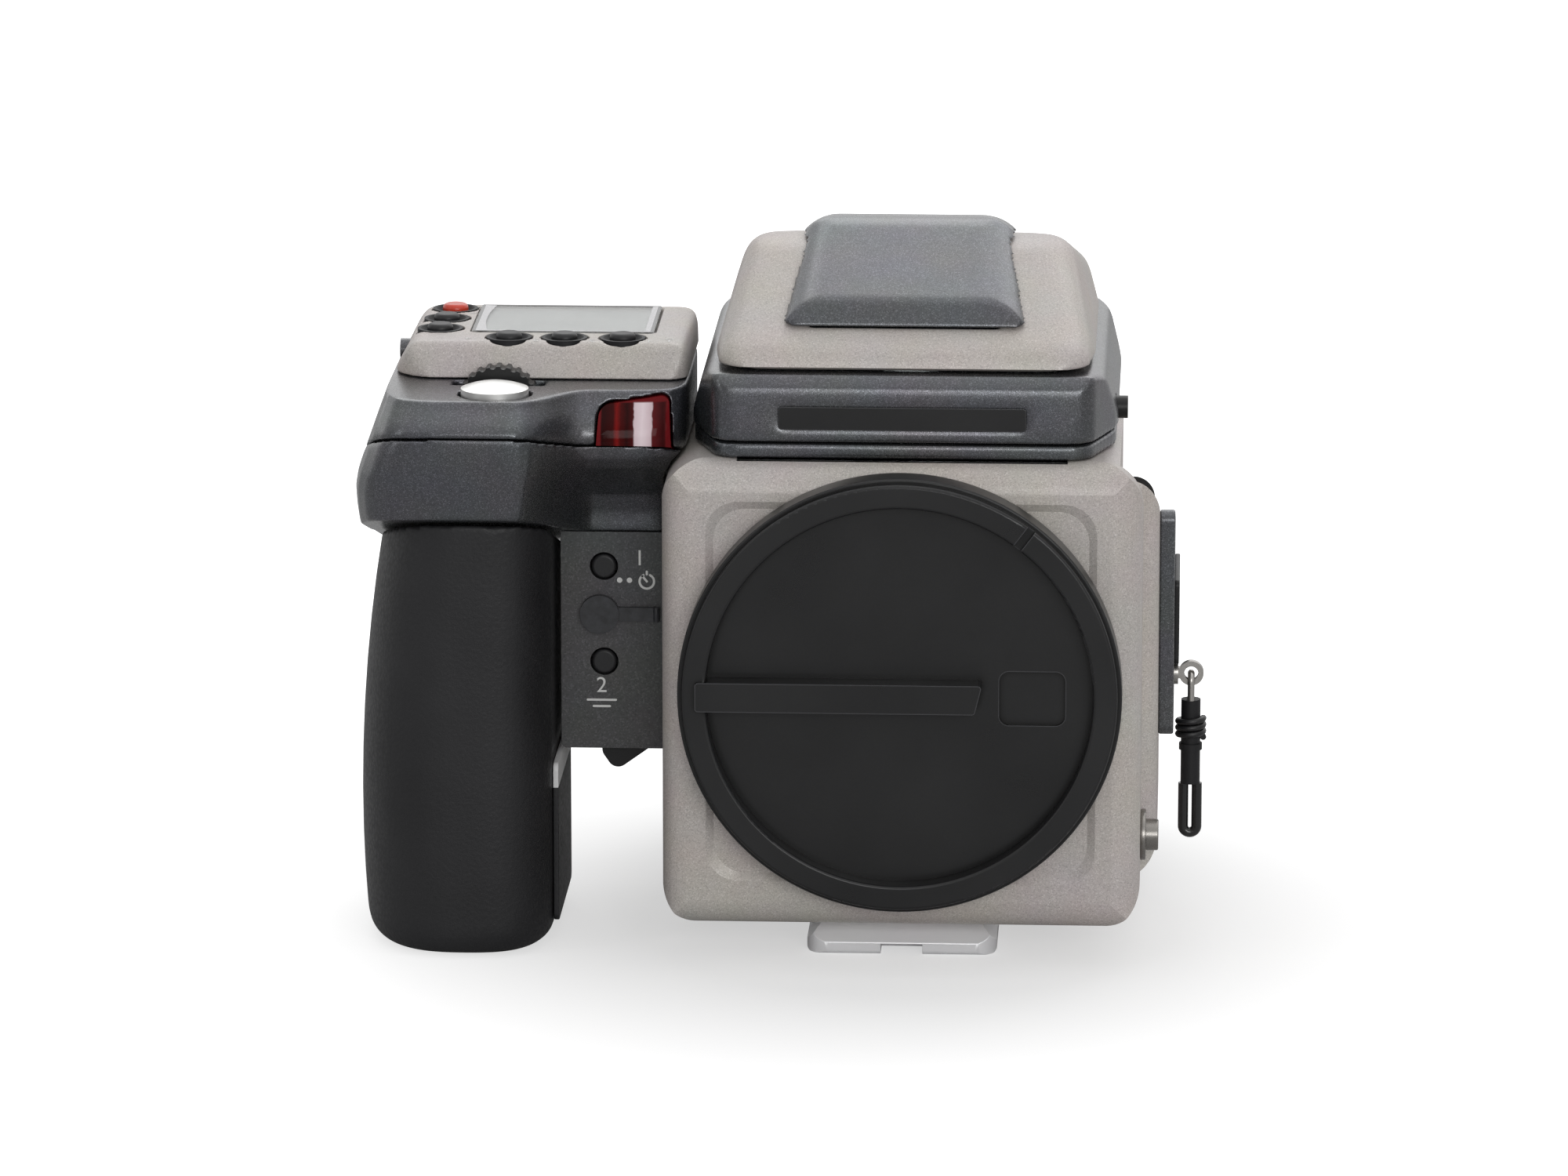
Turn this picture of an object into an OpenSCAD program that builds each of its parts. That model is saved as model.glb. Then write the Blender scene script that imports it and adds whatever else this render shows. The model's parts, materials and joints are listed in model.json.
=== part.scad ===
// Medium format digital camera with prism finder, battery grip, digital back and body cap.
// Millimetres, +Z up, the lens looks along -Y. The origin is the mouth of the tripod socket.

/* [Body] */
// Width of the front frame
body_w = 87.4; // [82:0.2:94]
// Height of the body above its tripod foot
body_h = 87; // [84:0.1:94]
// Depth from the front face to the film plane
body_d = 62; // [60:0.5:68]
// Corner radius of the frame seen from the front
body_corner_r = 8; // [5:0.5:11]
// Radius of the front edges
body_edge_r = 6; // [3:0.5:7]
// How far the electronics bulge stands out of the side
bulge_out = 3; // [1.5:0.1:4]
// Height of the lens axis above the base of the body
axis_h = 45.5; // [44:0.1:47]
// Side of the shallow square recess around the lens mount
recess_w = 71; // [66:0.5:74]
// Depth of that recess
recess_d = 0.4; // [0.2:0.1:1]
// Outer diameter of the lens mount ring
mount_d = 75; // [70:0.5:77]
// Free diameter inside the lens mount
throat_d = 60; // [54:0.5:62]
// Width of the mirror chamber
chamber_w = 60; // [56:0.5:64]
// Thickness of the mirror
mirror_t = 2; // [1.5:0.1:3]

/* [Tripod foot] */
// Height of the foot below the body
foot_h = 7; // [6:0.1:9]
// Width of the foot
foot_w = 35; // [30:0.5:40]
// Length of the foot from front to back
foot_l = 52; // [46:0.5:56]
// Diameter of the large tripod socket
socket_large_d = 9.53; // [9.5:0.01:9.6]
// Diameter of the small tripod socket
socket_small_d = 6.35; // [6.3:0.01:6.4]

/* [Body cap] */
// Diameter of the cap
cap_d = 80.6; // [78:0.2:84]
// How far the cap ring stands in front of the body
cap_out = 8; // [6:0.2:10]
// Width of the raised ring
cap_ring_w = 5.2; // [4:0.1:7]
// Depth of the inner disc behind the ring
cap_dish = 4.3; // [3:0.1:5]
// Height of the grip bar across the disc
cap_bar_w = 5.4; // [4:0.1:7]
// Length of the grip bar
cap_bar_l = 52; // [44:0.5:54]

/* [Finder] */
// Width of the finder at its front
finder_front_w = 68; // [64:0.5:72]
// Width of the finder behind the front
finder_w = 78; // [76:0.5:80]
// Length of the finder from front to eyepiece
finder_l = 105; // [100:0.5:112]
// Height of the rail under the finder
rail_h = 3; // [2:0.1:4]
// Height of the dark casing above the rail
casing_h = 12.5; // [11.5:0.1:14]
// Height of the roof above the casing
roof_h = 18.7; // [17.5:0.1:20]
// Width of the roof at its foot
roof_w = 69.5; // [66:0.5:72]
// Width of the flash cover at its front edge
flash_w = 46; // [40:0.5:48]
// How far the flash cover stands above the roof
flash_out = 3.3; // [2.5:0.1:4]

/* [Grip] */
// Width of the grip shoulder beside the body
shoulder_w = 56.6; // [54:0.2:60]
// Height of the shoulder's top face above the body's base
shoulder_h = 97.7; // [94:0.1:99]
// Height of the top cover above the shoulder
cover_h = 6.5; // [5.8:0.1:8]
// Depth of the top cover from front to back
cover_d = 41; // [40:0.5:43]
// Width of the display window
display_w = 33.7; // [30:0.1:35]
// Depth of the display window
display_d = 25.5; // [22:0.1:25.8]
// Diameter of the shutter button
shutter_d = 12.6; // [10:0.1:13]
// Diameter of the front control wheel
wheel_d = 16; // [14:0.1:17]
// Diameter of the small buttons on the top cover
key_d = 4.8; // [4:0.1:5.4]
// Diameter of the two round buttons on the front panel
panel_key_d = 4.6; // [4:0.1:5.2]
// Width of the battery grip
battery_w = 37; // [34:0.2:38]
// Depth of the battery grip from front to back
battery_d = 58; // [54:0.5:60]

/* [Digital back] */
// Width of the digital back
back_w = 91; // [88:0.5:93]
// Depth of the digital back behind the film plane
back_d = 50; // [44:0.5:56]
// Width of the rear screen
screen_w = 56; // [48:0.5:60]
// Height of the rear screen
screen_h = 42; // [36:0.5:46]

/* [Fits] */
// Gap around a piece that moves
run_gap = 0.3; // [0.2:0.05:0.4]
// Gap around a piece that is let into another
fit_gap = 0.15; // [0.1:0.05:0.25]
// Radial gap of a shaft in its bearing
shaft_gap = 0.05; // [0.02:0.01:0.08]

/* [Hidden] */
$fn = 48;
// Length that passes right through the camera, and a lift that keeps two faces out of one plane
reach = 200;
lift = 0.06;
front_y = -body_d / 2;
film_y = body_d / 2;
side_x = body_w / 2;
bulge_x = side_x + bulge_out;
base_z = foot_h;
top_z = foot_h + body_h;
axis_z = foot_h + axis_h;
fall_y = front_y + body_edge_r;
fall_angle = 15;

// Mirror chamber inside the body
chamber_wall = 4;
chamber_front = front_y + chamber_wall;
chamber_back = film_y - chamber_wall;
chamber_floor = base_z + 15;
screen_t = 2.5;
screen_margin = 3;
chamber_top = top_z - screen_t - 3;
gate_h = 42;
gate_w = 56;
mirror_w = chamber_w - 6;
mirror_l = 40;
pivot_y = chamber_back - 5;
pivot_z = chamber_top - 4.5;
pivot_r = 1.5;
pivot_l = 3;
mount_t = 2.4;
mount_front = front_y - 0.4;
tab_t = 1.4;
tab_in = 2.2;
tab_angle = 40;

// Side of the body
bulge_front = front_y + 18;
plate_t = 2.8;
plate_front = front_y + 25;
plate_back = film_y - 3;
plate_low = axis_z - 14.5;
plate_high = axis_z + 28.5;
strip_t = 0.9;
strip_low = axis_z - 2;
strip_high = axis_z + 14;
strip_front = plate_front + 4;
strip_back = plate_back - 6;
plate_x = bulge_x + plate_t;
eye_x = plate_x + 3.2;
eye_y = plate_front + 9;
eye_z = axis_z - 4.5;
eye_r = 1.3;
eye_wall = 1;
eye_t = 1.6;
stud_r = 2.2;
ring_wire_r = 0.65;
ring_bend_r = 1.45;
ring_sag = 0.1;
ring_arch_z = eye_z - ring_bend_r - ring_sag;
sleeve_r = 1.8;
sleeve_l = 16;
sleeve_top = eye_z - 5;
cord_r = 0.55;
cord_pitch = 1.3;
cord_turns = 3;
cord_rings = 24;
cord_sides = 6;
binding_r = sleeve_r + cord_r + shaft_gap;
binding_low = sleeve_top - 7.4;
hook_wire_r = 0.95;
hook_bend_r = 1.25;
hook_l = 10.5;
hook_low = sleeve_top - sleeve_l - hook_l + hook_bend_r + hook_wire_r;
release_y = front_y + 12.6;
release_z = base_z + 15.5;
release_d = 5.8;
release_out = 3.3;
release_in = 4;
release_travel = 1.5;
collar_d = 9.4;
collar_t = 1;

// Tripod foot
foot_front = -22;
foot_back = foot_front + foot_l;
foot_lip = 2.2;
foot_slope = 4;
foot_slot_w = 7.7;
foot_slot_h = 1.9;
foot_slot_l = 6;
socket_depth = 5.6;
small_socket_y = foot_back - 15;
screw_r = 1.4;
screw_head_r = 2.6;
screw_head_t = 1.4;
screw_sink = 0.5;
screw_grip = 5;
screw_inset = 8;

// Body cap, measured forwards from the origin along -Y
cap_r = cap_d / 2;
cap_face = cap_out - front_y;
cap_disc = cap_face - cap_dish;
cap_disc_t = 1.8;
cap_rear = run_gap - mount_front;
cap_step = 0.8;
cap_hub_r = throat_d / 2 - run_gap;
cap_hub_t = 2;
cap_lug_t = 1.5;
cap_lug_front = -(mount_front + tab_t) - run_gap;
cap_hub_rear = cap_lug_front - cap_lug_t - 0.5;
cap_bar_left = cap_ring_w - cap_r - 1.9;
cap_bar_out = 0.6;
cap_notch_w = 1.6;
cap_notch_turn = 53;
cap_pocket = [12, 10];
cap_pocket_x = 24;
cap_pocket_d = 0.7;

// Finder
finder_front = front_y + 4;
finder_back = finder_front + finder_l;
rail_z = top_z + rail_h;
casing_z = rail_z + casing_h;
roof_z = casing_z + roof_h;
peak_z = roof_z + 1.55;
roof_in = 2.6;
roof_front = finder_front + roof_in;
eye_block_d = 16;
roof_back = finder_back - eye_block_d;
crest_in = 38;
crest_y = finder_front + crest_in;
roof_fall = 0.27;
roof_foot = 3.4;
roof_lean = 0.29;
roof_edge_r = 6.5;
spigot_in = 2.5;
spigot_front = 2;
spigot_back = 4;
spigot_r = 8;
shadow_gap = 0.6;
well_w = 54;
well_in = 7;
well_l = 50;
well_front = finder_front + well_in;
well_back = well_front + well_l;
well_ledge = 5;
prism_gap = 0.3;
prism_in = 2;
prism_rear_in = 1;
prism_rear_h = 5;
prism_ridge_in = 12;
prism_ridge_h = 8;
prism_valley_in = 2.5;
prism_valley_h = 1.6;
prism_front_h = 0.2;
lid_in = 9;
lid_l = 41;
lid_front = finder_front + lid_in;
lid_back = lid_front + lid_l;
lid_pivot_y = lid_back - 0.2;
lid_pivot_z = peak_z - roof_fall * (lid_pivot_y - crest_y) + 0.5;
lid_crest = roof_z + flash_out;
lid_peak = lid_crest + 0.8;
lid_fall = 0.17;
lid_lean = 0.2;
lid_edge_r = 9;
lid_crease_y = lid_front + 2.6;
lid_crease_z = roof_z - 6.7;
lid_barrel_r = 1.8;
lid_barrel_l = 24;
lid_pin_r = 1;
lid_pin_l = 3;
head_w = 34;
head_front = lid_front + 4.5;
head_back = head_front + 15;
head_low = casing_z + 2.6;
head_t = 3;
shoe_y = finder_front + 73;
shoe_w = 20.6;
shoe_l = 18;
shoe_z = casing_z + 4.6;
shoe_slot_w = 18.7;
shoe_slot_h = 2.1;
shoe_mouth_w = 12.6;
shoe_base_t = 1.2;
shoe_lip_t = 1;
shoe_h = 2 * shoe_base_t + shoe_slot_h + shoe_lip_t;
eye_block_w = 46;
eyepiece_z = rail_z + casing_h / 2;
eyepiece_r = 5.2;
eyecup_r = 10.5;
eyecup_l = 9;
dial_r = 4.4;
dial_t = 2.2;
dial_y = finder_back - 6.4;
dial_pin_r = 1.5;
dial_pin_l = 4;
badge_size = [45, 4.3];
badge_t = 0.5;
badge_z = rail_z + 4.6;
finder_key_d = 4.2;
finder_key_y = finder_front + 24;
finder_key_z = rail_z + 2.4;
finder_key_out = 1.6;
finder_key_in = 3;
finder_key_travel = 1;

// Grip shoulder
grip_top = base_z + shoulder_h;
cover_z = grip_top + cover_h;
grip_left = -side_x - shoulder_w;
grip_right = -finder_w / 2 - 0.6;
grip_rear = film_y;
bulge_y = front_y - 3.2;
split_tilt = 16;
split_y = bulge_y + 1.2;
split_z = grip_top - 6.4;
join_z = grip_top - 21.5;
ring_points = 72;
front_points = 36;
side_points = 12;
shoulder_lean = 5.7;
hollow_in = 8.8;
key_x = grip_left + 26;
wheel_y = film_y - cover_d - 1.6;
shutter_y = wheel_y - 9.9;
shutter_in = 2.8;
shutter_rim = 1;
shutter_dome = 1.3;
shutter_travel = 1.2;
wheel_t = 4;
wheel_out = 3.2;
wheel_z = grip_top + wheel_out - wheel_d / 2;
wheel_pin_r = 1.2;
wheel_pin_l = 1.5;
wheel_ribs = 26;
rear_wheel_d = 17;
rear_wheel_x = grip_left + 38.3;
rear_wheel_y = grip_rear - 5.5;
rear_wheel_z = grip_top - 13;
rear_wheel_t = 6;
af_left = grip_right - 17.3;
af_right = grip_right - 2;
af_top = grip_top - 0.8;
af_wall = 2;
af_back = wheel_y + 2.6;

// Top cover
cover_left = grip_left + shoulder_lean;
cover_right = grip_right - 0.3;
cover_back = film_y;
cover_front = cover_back - cover_d + 1;
display_x = cover_right - 23.8;
display_left = display_x - display_w / 2;
display_back = cover_back - 2.6;
display_front = display_back - display_d;
display_rim = 1.5;
display_t = 1.2;
panel_t = 1.4;
display_depth = 3;
seal_r = 4.2;
seal_t = 2;
key_out = 1.8;
key_travel = 0.8;
side_keys = [[display_left - 4.8, cover_back - 6], [display_left - 5.6, cover_back - 15.5],
    [display_left - 6, cover_back - 25]];
front_keys = [for (d = [-9.5, 0.7, 11.4]) [display_x + d, display_front - seal_r - 0.35]];
all_keys = concat(side_keys, front_keys);
stud_y = cover_back - 25;
stud_left = cover_left + 0.7;
stud_right = cover_left + 3.4;
stud_z = grip_top + 2.4;
grip_stud_r = 2;

// Front panel and bridge between grip and body
panel_front = front_y + 23;
panel_thick = 2;
bridge_front = panel_front + panel_thick;
bridge_back = film_y - 1;
bridge_low = base_z + 28;
bridge_left = -side_x - 19.8;
panel_key_x = -side_x - 11.8;
mirror_key_z = base_z + 62.5;
stop_key_z = base_z + 44.5;
panel_key_in = 3.4;
panel_key_out = 0.3;
port_x = -side_x - 12.6;
port_z = base_z + 53.6;
port_r = 2.6;
port_cover_r = 3.6;
port_cover_t = 1.3;
port_depth = 3.5;
tether_x = -side_x - 2.1;
tether_w = 2.6;
tether_t = 0.9;
bead_r = 0.6;
bead_y = panel_front - bead_r - shaft_gap;
lever_x = -side_x - 5.8;
lever_z = bridge_low + 3.2;
lever_pin_r = 1.2;
lever_front = bridge_front + run_gap;
lever_t = 4;
lever_low = bridge_low - 5;
lever_room = 12;

// Battery grip
battery_left = grip_left - 0.5;
battery_right = battery_left + battery_w;
battery_y = -0.5;
battery_flat = 0.7;
battery_edge = 4;
strip_l = 32;
strip_top = bridge_low - 1;

// Digital back
back_y = film_y + back_d;
back_shoulder = 10;
back_low = base_z + 6;
back_high = top_z - 0.3;
sensor_w = 54;
sensor_h = 40;
sensor_t = 2.5;
rear_screen_x = -6.5;
rear_screen_z = base_z + 47;
rear_screen_t = 1.6;
pad_x = back_w / 2 - 12.5;
pad_z = rear_screen_z;
pad_r = 7;
pad_in = 2.6;
pad_out = 0.8;
pad_travel = 0.6;
door_y = film_y + 15;
door_l = 26;
door_low = base_z + 24;
door_h = 34;
door_t = 2;
door_pin_r = 0.7;
door_pin_l = 2;

// Helpers: extrusions along the three axes
module along_x(x0, x1) {
    translate([x0, 0, 0]) rotate([90, 0, 90]) linear_extrude(x1 - x0) children();
}
module along_y(y0, y1) {
    translate([0, y1, 0]) rotate([90, 0, 0]) linear_extrude(y1 - y0) children();
}
module along_z(z0, z1) {
    translate([0, 0, z0]) linear_extrude(z1 - z0) children();
}
// Round bar along one axis between two stations
module bar_x(y, z, r, x0, x1) { translate([x0, y, z]) rotate([0, 90, 0]) cylinder(r = r, h = x1 - x0); }
module bar_y(x, z, r, y0, y1) { translate([x, y1, z]) rotate([90, 0, 0]) cylinder(r = r, h = y1 - y0); }
module bar_z(x, y, r, z0, z1) { translate([x, y, z0]) cylinder(r = r, h = z1 - z0); }
// Box between two corners
module block(a, b) { translate(a) cube(b - a); }

// Outline with rounded corners: a list of [x, y, radius], counter-clockwise
function flat(p) = [p[0], p[1]];
function unit(v) = v / norm(v);
function to_last(p, i) = unit(flat(p[(i + len(p) - 1) % len(p)]) - flat(p[i]));
function to_next(p, i) = unit(flat(p[(i + 1) % len(p)]) - flat(p[i]));
function half_angle(p, i) = acos(to_last(p, i) * to_next(p, i)) / 2;
function tangent_len(p, i) = p[i][2] / tan(half_angle(p, i));
function hub(p, i) = flat(p[i]) + unit(to_last(p, i) + to_next(p, i)) * p[i][2] / sin(half_angle(p, i));
function convex(p, i) = cross(-to_last(p, i), to_next(p, i)) > 0;
function corner_ends(p, i) = p[i][2] == 0 ? [flat(p[i])]
    : [for (d = [to_last(p, i), to_next(p, i)]) flat(p[i]) + d * tangent_len(p, i)];
module corner_sector(p, i) {
    c = hub(p, i);
    e = corner_ends(p, i);
    intersection() {
        translate(c) circle(r = p[i][2]);
        polygon([c, 2 * e[0] - c, c + 3 * p[i][2] * unit(flat(p[i]) - c), 2 * e[1] - c]);
    }
}
module outline(p) {
    difference() {
        union() {
            polygon([for (i = [0:len(p) - 1]) each corner_ends(p, i)]);
            for (i = [0:len(p) - 1]) if (p[i][2] > 0 && convex(p, i)) corner_sector(p, i);
        }
        for (i = [0:len(p) - 1]) if (p[i][2] > 0 && !convex(p, i)) corner_sector(p, i);
    }
}
// Corners of a rectangle, each radius given in the order low left, low right, high right, high left
function rect(a, b, r) = [[a.x, a.y, r[0]], [b.x, a.y, r[1]], [b.x, b.y, r[2]], [a.x, b.y, r[3]]];
function even_rect(a, b, r) = rect(a, b, [r, r, r, r]);

// Wedge behind two planes that meet at a point, given by their outward directions, with its edge rounded
module wedge(p, out1, out2, r) {
    v = unit(out1);
    w = unit(cross(out1, out2));
    u = cross(v, w);
    n = unit(out2);
    down = [-n * v, n * u];
    multmatrix([for (i = [0:2]) [u[i], v[i], w[i], p[i]]])
        translate([0, 0, -reach]) linear_extrude(2 * reach)
        outline([[0, 0, r], [reach * down.x, reach * down.y, 0], [reach * (1 + down.x), reach * down.y, 0],
            [reach, 0, 0]]);
}

// Closed solid through rings of equal length, from low to high, each counter-clockwise from above
module loft(rings) {
    n = len(rings[0]);
    m = len(rings);
    polyhedron(
        points = [for (ring = rings) each ring],
        faces = concat(
            [[for (i = [0:n - 1]) i]],
            [[for (i = [n - 1:-1:0]) (m - 1) * n + i]],
            [for (k = [0:m - 2], i = [0:n - 1]) let (a = k * n, j = (i + 1) % n) [a + i, a + n + i, a + n + j]],
            [for (k = [0:m - 2], i = [0:n - 1]) let (a = k * n, j = (i + 1) % n) [a + i, a + n + j, a + j]]));
}
// Point of a squared-off ellipse; a higher power makes the corners tighter
function power(v, n) = sign(v) * pow(abs(v), 2 / n);
// Value that goes smoothly from 0 to 1 as t goes from a to b
function ease(a, b, t) = let (u = max(0, min(1, (t - a) / (b - a)))) u * u * (3 - 2 * u);

// Body
module body_envelope(grow = 0) {
    intersection() {
        along_y(front_y - grow, film_y)
            outline(even_rect([-side_x - grow, base_z - grow], [side_x + grow, top_z + grow], body_corner_r));
        along_z(base_z - grow, top_z + grow)
            outline(rect([-side_x - grow, front_y - grow], [side_x + grow, film_y],
                [body_edge_r, body_edge_r, 0, 0]));
        along_x(-side_x - grow, side_x + grow)
            outline(rect([front_y - grow, base_z - grow], [film_y, top_z + grow],
                [body_edge_r, 0, 0, body_edge_r]));
    }
}
module side_bulge() {
    intersection() {
        along_y(bulge_front, film_y)
            outline(rect([side_x - bulge_out - body_edge_r, base_z + 5.5], [bulge_x, top_z - 4],
                [0, 2.5 * bulge_out, 2 * bulge_out, 0]));
        along_z(base_z, top_z)
            outline(rect([side_x - bulge_out - body_edge_r, bulge_front], [bulge_x, film_y],
                [0, 1.5 * bulge_out, 0, 0]));
    }
}
// What is taken off a side of the body or the back: all above a plane that falls to the rear, from x0 outwards
module falling_side(x0, x1, r, drop) {
    difference() {
        block([x0, front_y - 1, axis_z], [x1 + body_corner_r, back_y + 1, top_z + 1]);
        wedge([x1, fall_y, top_z - drop], [0, tan(fall_angle), 1], [1, 0, 0], r);
    }
}
module mirror_chamber() {
    block([-chamber_w / 2, chamber_front, chamber_floor], [chamber_w / 2, chamber_back, chamber_top]);
    bar_y(0, axis_z, throat_d / 2 + tab_in + run_gap, front_y - 1, chamber_front + 1);
    bar_y(0, axis_z, mount_d / 2 + fit_gap, front_y - 1, mount_front + mount_t);
    block([-gate_w / 2, chamber_back - 1, axis_z - gate_h / 2], [gate_w / 2, film_y + 1, axis_z + gate_h / 2]);
    block([-chamber_w / 2 + screen_margin, chamber_front + screen_margin, chamber_top - 1],
        [chamber_w / 2 - screen_margin, chamber_back - screen_margin, top_z + 1]);
    block([-chamber_w / 2, chamber_front, top_z - screen_t], [chamber_w / 2, chamber_back, top_z + 1]);
    bar_x(pivot_y, pivot_z, pivot_r + shaft_gap, -chamber_w / 2 - pivot_l - run_gap,
        chamber_w / 2 + pivot_l + run_gap);
}
module front_recess() {
    along_y(front_y - 1, front_y + recess_d)
        translate([0, axis_z - 1]) outline(even_rect([-recess_w, -recess_w] / 2, [recess_w, recess_w] / 2, 6));
}
module body_frame() {
    color("#9c928a")
    difference() {
        union() {
            difference() {
                body_envelope();
                falling_side(finder_w / 2 + 0.5, side_x + lift, body_corner_r, 0);
            }
            difference() {
                side_bulge();
                falling_side(finder_w / 2, bulge_x + lift, 2 * bulge_out, bulge_out);
            }
        }
        mirror_chamber();
        front_recess();
        bar_x(release_y, release_z, release_d / 2 + run_gap, side_x - release_in - release_travel - run_gap,
            side_x + 1);
        foot_screw_places() cylinder(r = screw_r + shaft_gap, h = base_z + screw_grip + run_gap);
    }
}
// Sector of a ring around the lens axis, used for bayonet tabs and lugs
module bayonet_part(r_in, r_out, y0, y1, angle, turn) {
    translate([0, 0, axis_z]) rotate([0, turn, 0]) along_y(y0, y1)
    for (k = [0:2]) rotate(120 * k) intersection() {
        difference() {
            circle(r = r_out);
            circle(r = r_in);
        }
        polygon([[0, 0], 2 * r_out * [cos(angle / 2), -sin(angle / 2)], [2 * r_out, 0],
            2 * r_out * [cos(angle / 2), sin(angle / 2)]]);
    }
}
module lens_mount() {
    color("#c9c7c2")
    union() {
        difference() {
            bar_y(0, axis_z, mount_d / 2, mount_front, mount_front + mount_t);
            bar_y(0, axis_z, throat_d / 2 + tab_in, mount_front - 1, mount_front + mount_t + 1);
        }
        bayonet_part(throat_d / 2, throat_d / 2 + tab_in + 0.5, mount_front, mount_front + tab_t, tab_angle, 0);
    }
}
module reflex_mirror() {
    color("#b9c0c4")
    union() {
        translate([0, pivot_y, pivot_z]) rotate([45, 0, 0])
            block([-mirror_w / 2, -mirror_l, -mirror_t / 2], [mirror_w / 2, 0, mirror_t / 2]);
        bar_x(pivot_y, pivot_z, pivot_r, -chamber_w / 2 - pivot_l, chamber_w / 2 + pivot_l);
        bar_x(pivot_y, pivot_z, pivot_r + 0.7, 1 - mirror_w / 2, mirror_w / 2 - 1);
    }
}
module focusing_screen() {
    color("#dfe6e6")
    block([-chamber_w / 2 + fit_gap, chamber_front + fit_gap, top_z - screen_t],
        [chamber_w / 2 - fit_gap, chamber_back - fit_gap, top_z]);
}

// Tripod foot
module foot_screw_places() {
    for (x = [-1, 1], y = [foot_front + screw_inset, foot_back - screw_inset])
        translate([x * (foot_w / 2 - screw_inset), y, 0]) children();
}
module tripod_foot() {
    color("#b4b3b1")
    difference() {
        intersection() {
            along_z(0, foot_h) outline(even_rect([-foot_w / 2, foot_front], [foot_w / 2, foot_back], 4));
            along_y(foot_front, foot_back)
                outline([[-foot_w / 2, 0, 0.8], [foot_w / 2, 0, 0.8], [foot_w / 2, foot_lip, 0.6],
                    [foot_w / 2 - foot_slope, foot_h, 0], [foot_slope - foot_w / 2, foot_h, 0],
                    [-foot_w / 2, foot_lip, 0.6]]);
            along_x(-foot_w / 2, foot_w / 2)
                outline([[foot_front, 0, 0.8], [foot_back, 0, 0.8], [foot_back, foot_lip, 0.6],
                    [foot_back - foot_slope, foot_h, 0], [foot_front + foot_slope, foot_h, 0],
                    [foot_front, foot_lip, 0.6]]);
        }
        block([-foot_slot_w / 2, foot_front - 1, -1], [foot_slot_w / 2, foot_front + foot_slot_l, foot_slot_h]);
        bar_z(0, 0, socket_large_d / 2, -1, socket_depth);
        bar_z(0, small_socket_y, socket_small_d / 2, -1, socket_depth);
        foot_screw_places() {
            translate([0, 0, -1]) cylinder(r = screw_r + shaft_gap, h = foot_h + 2);
            translate([0, 0, -1]) cylinder(r = screw_head_r + fit_gap, h = 1 + screw_sink + screw_head_t);
        }
    }
}
module foot_screws() {
    color("#8d8d8b")
    foot_screw_places() union() {
        translate([0, 0, screw_sink]) cylinder(r = screw_head_r, h = screw_head_t);
        translate([0, 0, screw_sink]) cylinder(r = screw_r, h = base_z + screw_grip - screw_sink);
    }
}

// Side of the body
module side_plate() {
    color("#3b3d40")
    difference() {
        along_x(bulge_x, plate_x)
            outline([[plate_front, plate_low, 2], [plate_back, plate_low, 2],
                [plate_back, plate_high - tan(fall_angle) * (plate_back - plate_front), 2],
                [plate_front, plate_high, 2]]);
        bar_x(eye_y, eye_z, stud_r + shaft_gap, bulge_x - 1, plate_x + 1);
    }
}
module side_strip() {
    color("#2b2c2e")
    along_x(plate_x, plate_x + strip_t)
        outline(even_rect([strip_front, strip_low], [strip_back, strip_high], 1.2));
}
module strap_stud() {
    color("#b7b5b0")
    union() {
        bar_x(eye_y, eye_z, stud_r, bulge_x, plate_x + 0.8);
        difference() {
            along_y(eye_y - eye_t / 2, eye_y + eye_t / 2) union() {
                translate([eye_x, eye_z]) circle(r = eye_r + eye_wall);
                translate([plate_x + 0.4, eye_z - eye_wall]) square([eye_x - plate_x - 0.4, 2 * eye_wall]);
            }
            bar_y(eye_x, eye_z, eye_r, eye_y - eye_t, eye_y + eye_t);
        }
    }
}
// Half ring of round wire, open downwards in the plane of Y and Z, around a centre
module wire_arch(wire_r, bend_r) {
    intersection() {
        rotate([0, 90, 0]) rotate_extrude() translate([bend_r, 0]) circle(r = wire_r);
        translate([-2 * wire_r, -2 * bend_r, 0]) cube([4 * wire_r, 4 * bend_r, 2 * bend_r]);
    }
}
module strap_ring() {
    color("#c4c2bd")
    union() {
        translate([eye_x, eye_y, ring_arch_z]) wire_arch(ring_wire_r, ring_bend_r);
        for (s = [-1, 1]) bar_z(eye_x, eye_y + s * ring_bend_r, ring_wire_r, sleeve_top, ring_arch_z);
    }
}
module strap_sleeve() {
    color("#1b1b1c")
    union() {
        bar_z(eye_x, eye_y, sleeve_r, sleeve_top - sleeve_l, sleeve_top);
        bar_z(eye_x, eye_y, sleeve_r + 0.35, binding_low - cord_r - 1.6, binding_low - cord_r - 0.4);
    }
}
// Centre line of the cord binding: turns round the sleeve with a straight end on each side
function binding_point(k) = let (a = 360 * k / cord_rings)
    [eye_x + binding_r * cos(a), eye_y + binding_r * sin(a), binding_low + cord_pitch * k / cord_rings];
function binding_end(k, s) = let (a = 360 * k / cord_rings)
    binding_point(k) + s * 2 * cord_r * [-sin(a), cos(a), 0];
binding_line = concat([binding_end(0, -1)], [for (k = [0:cord_turns * cord_rings]) binding_point(k)],
    [binding_end(cord_turns * cord_rings, 1)]);
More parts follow.
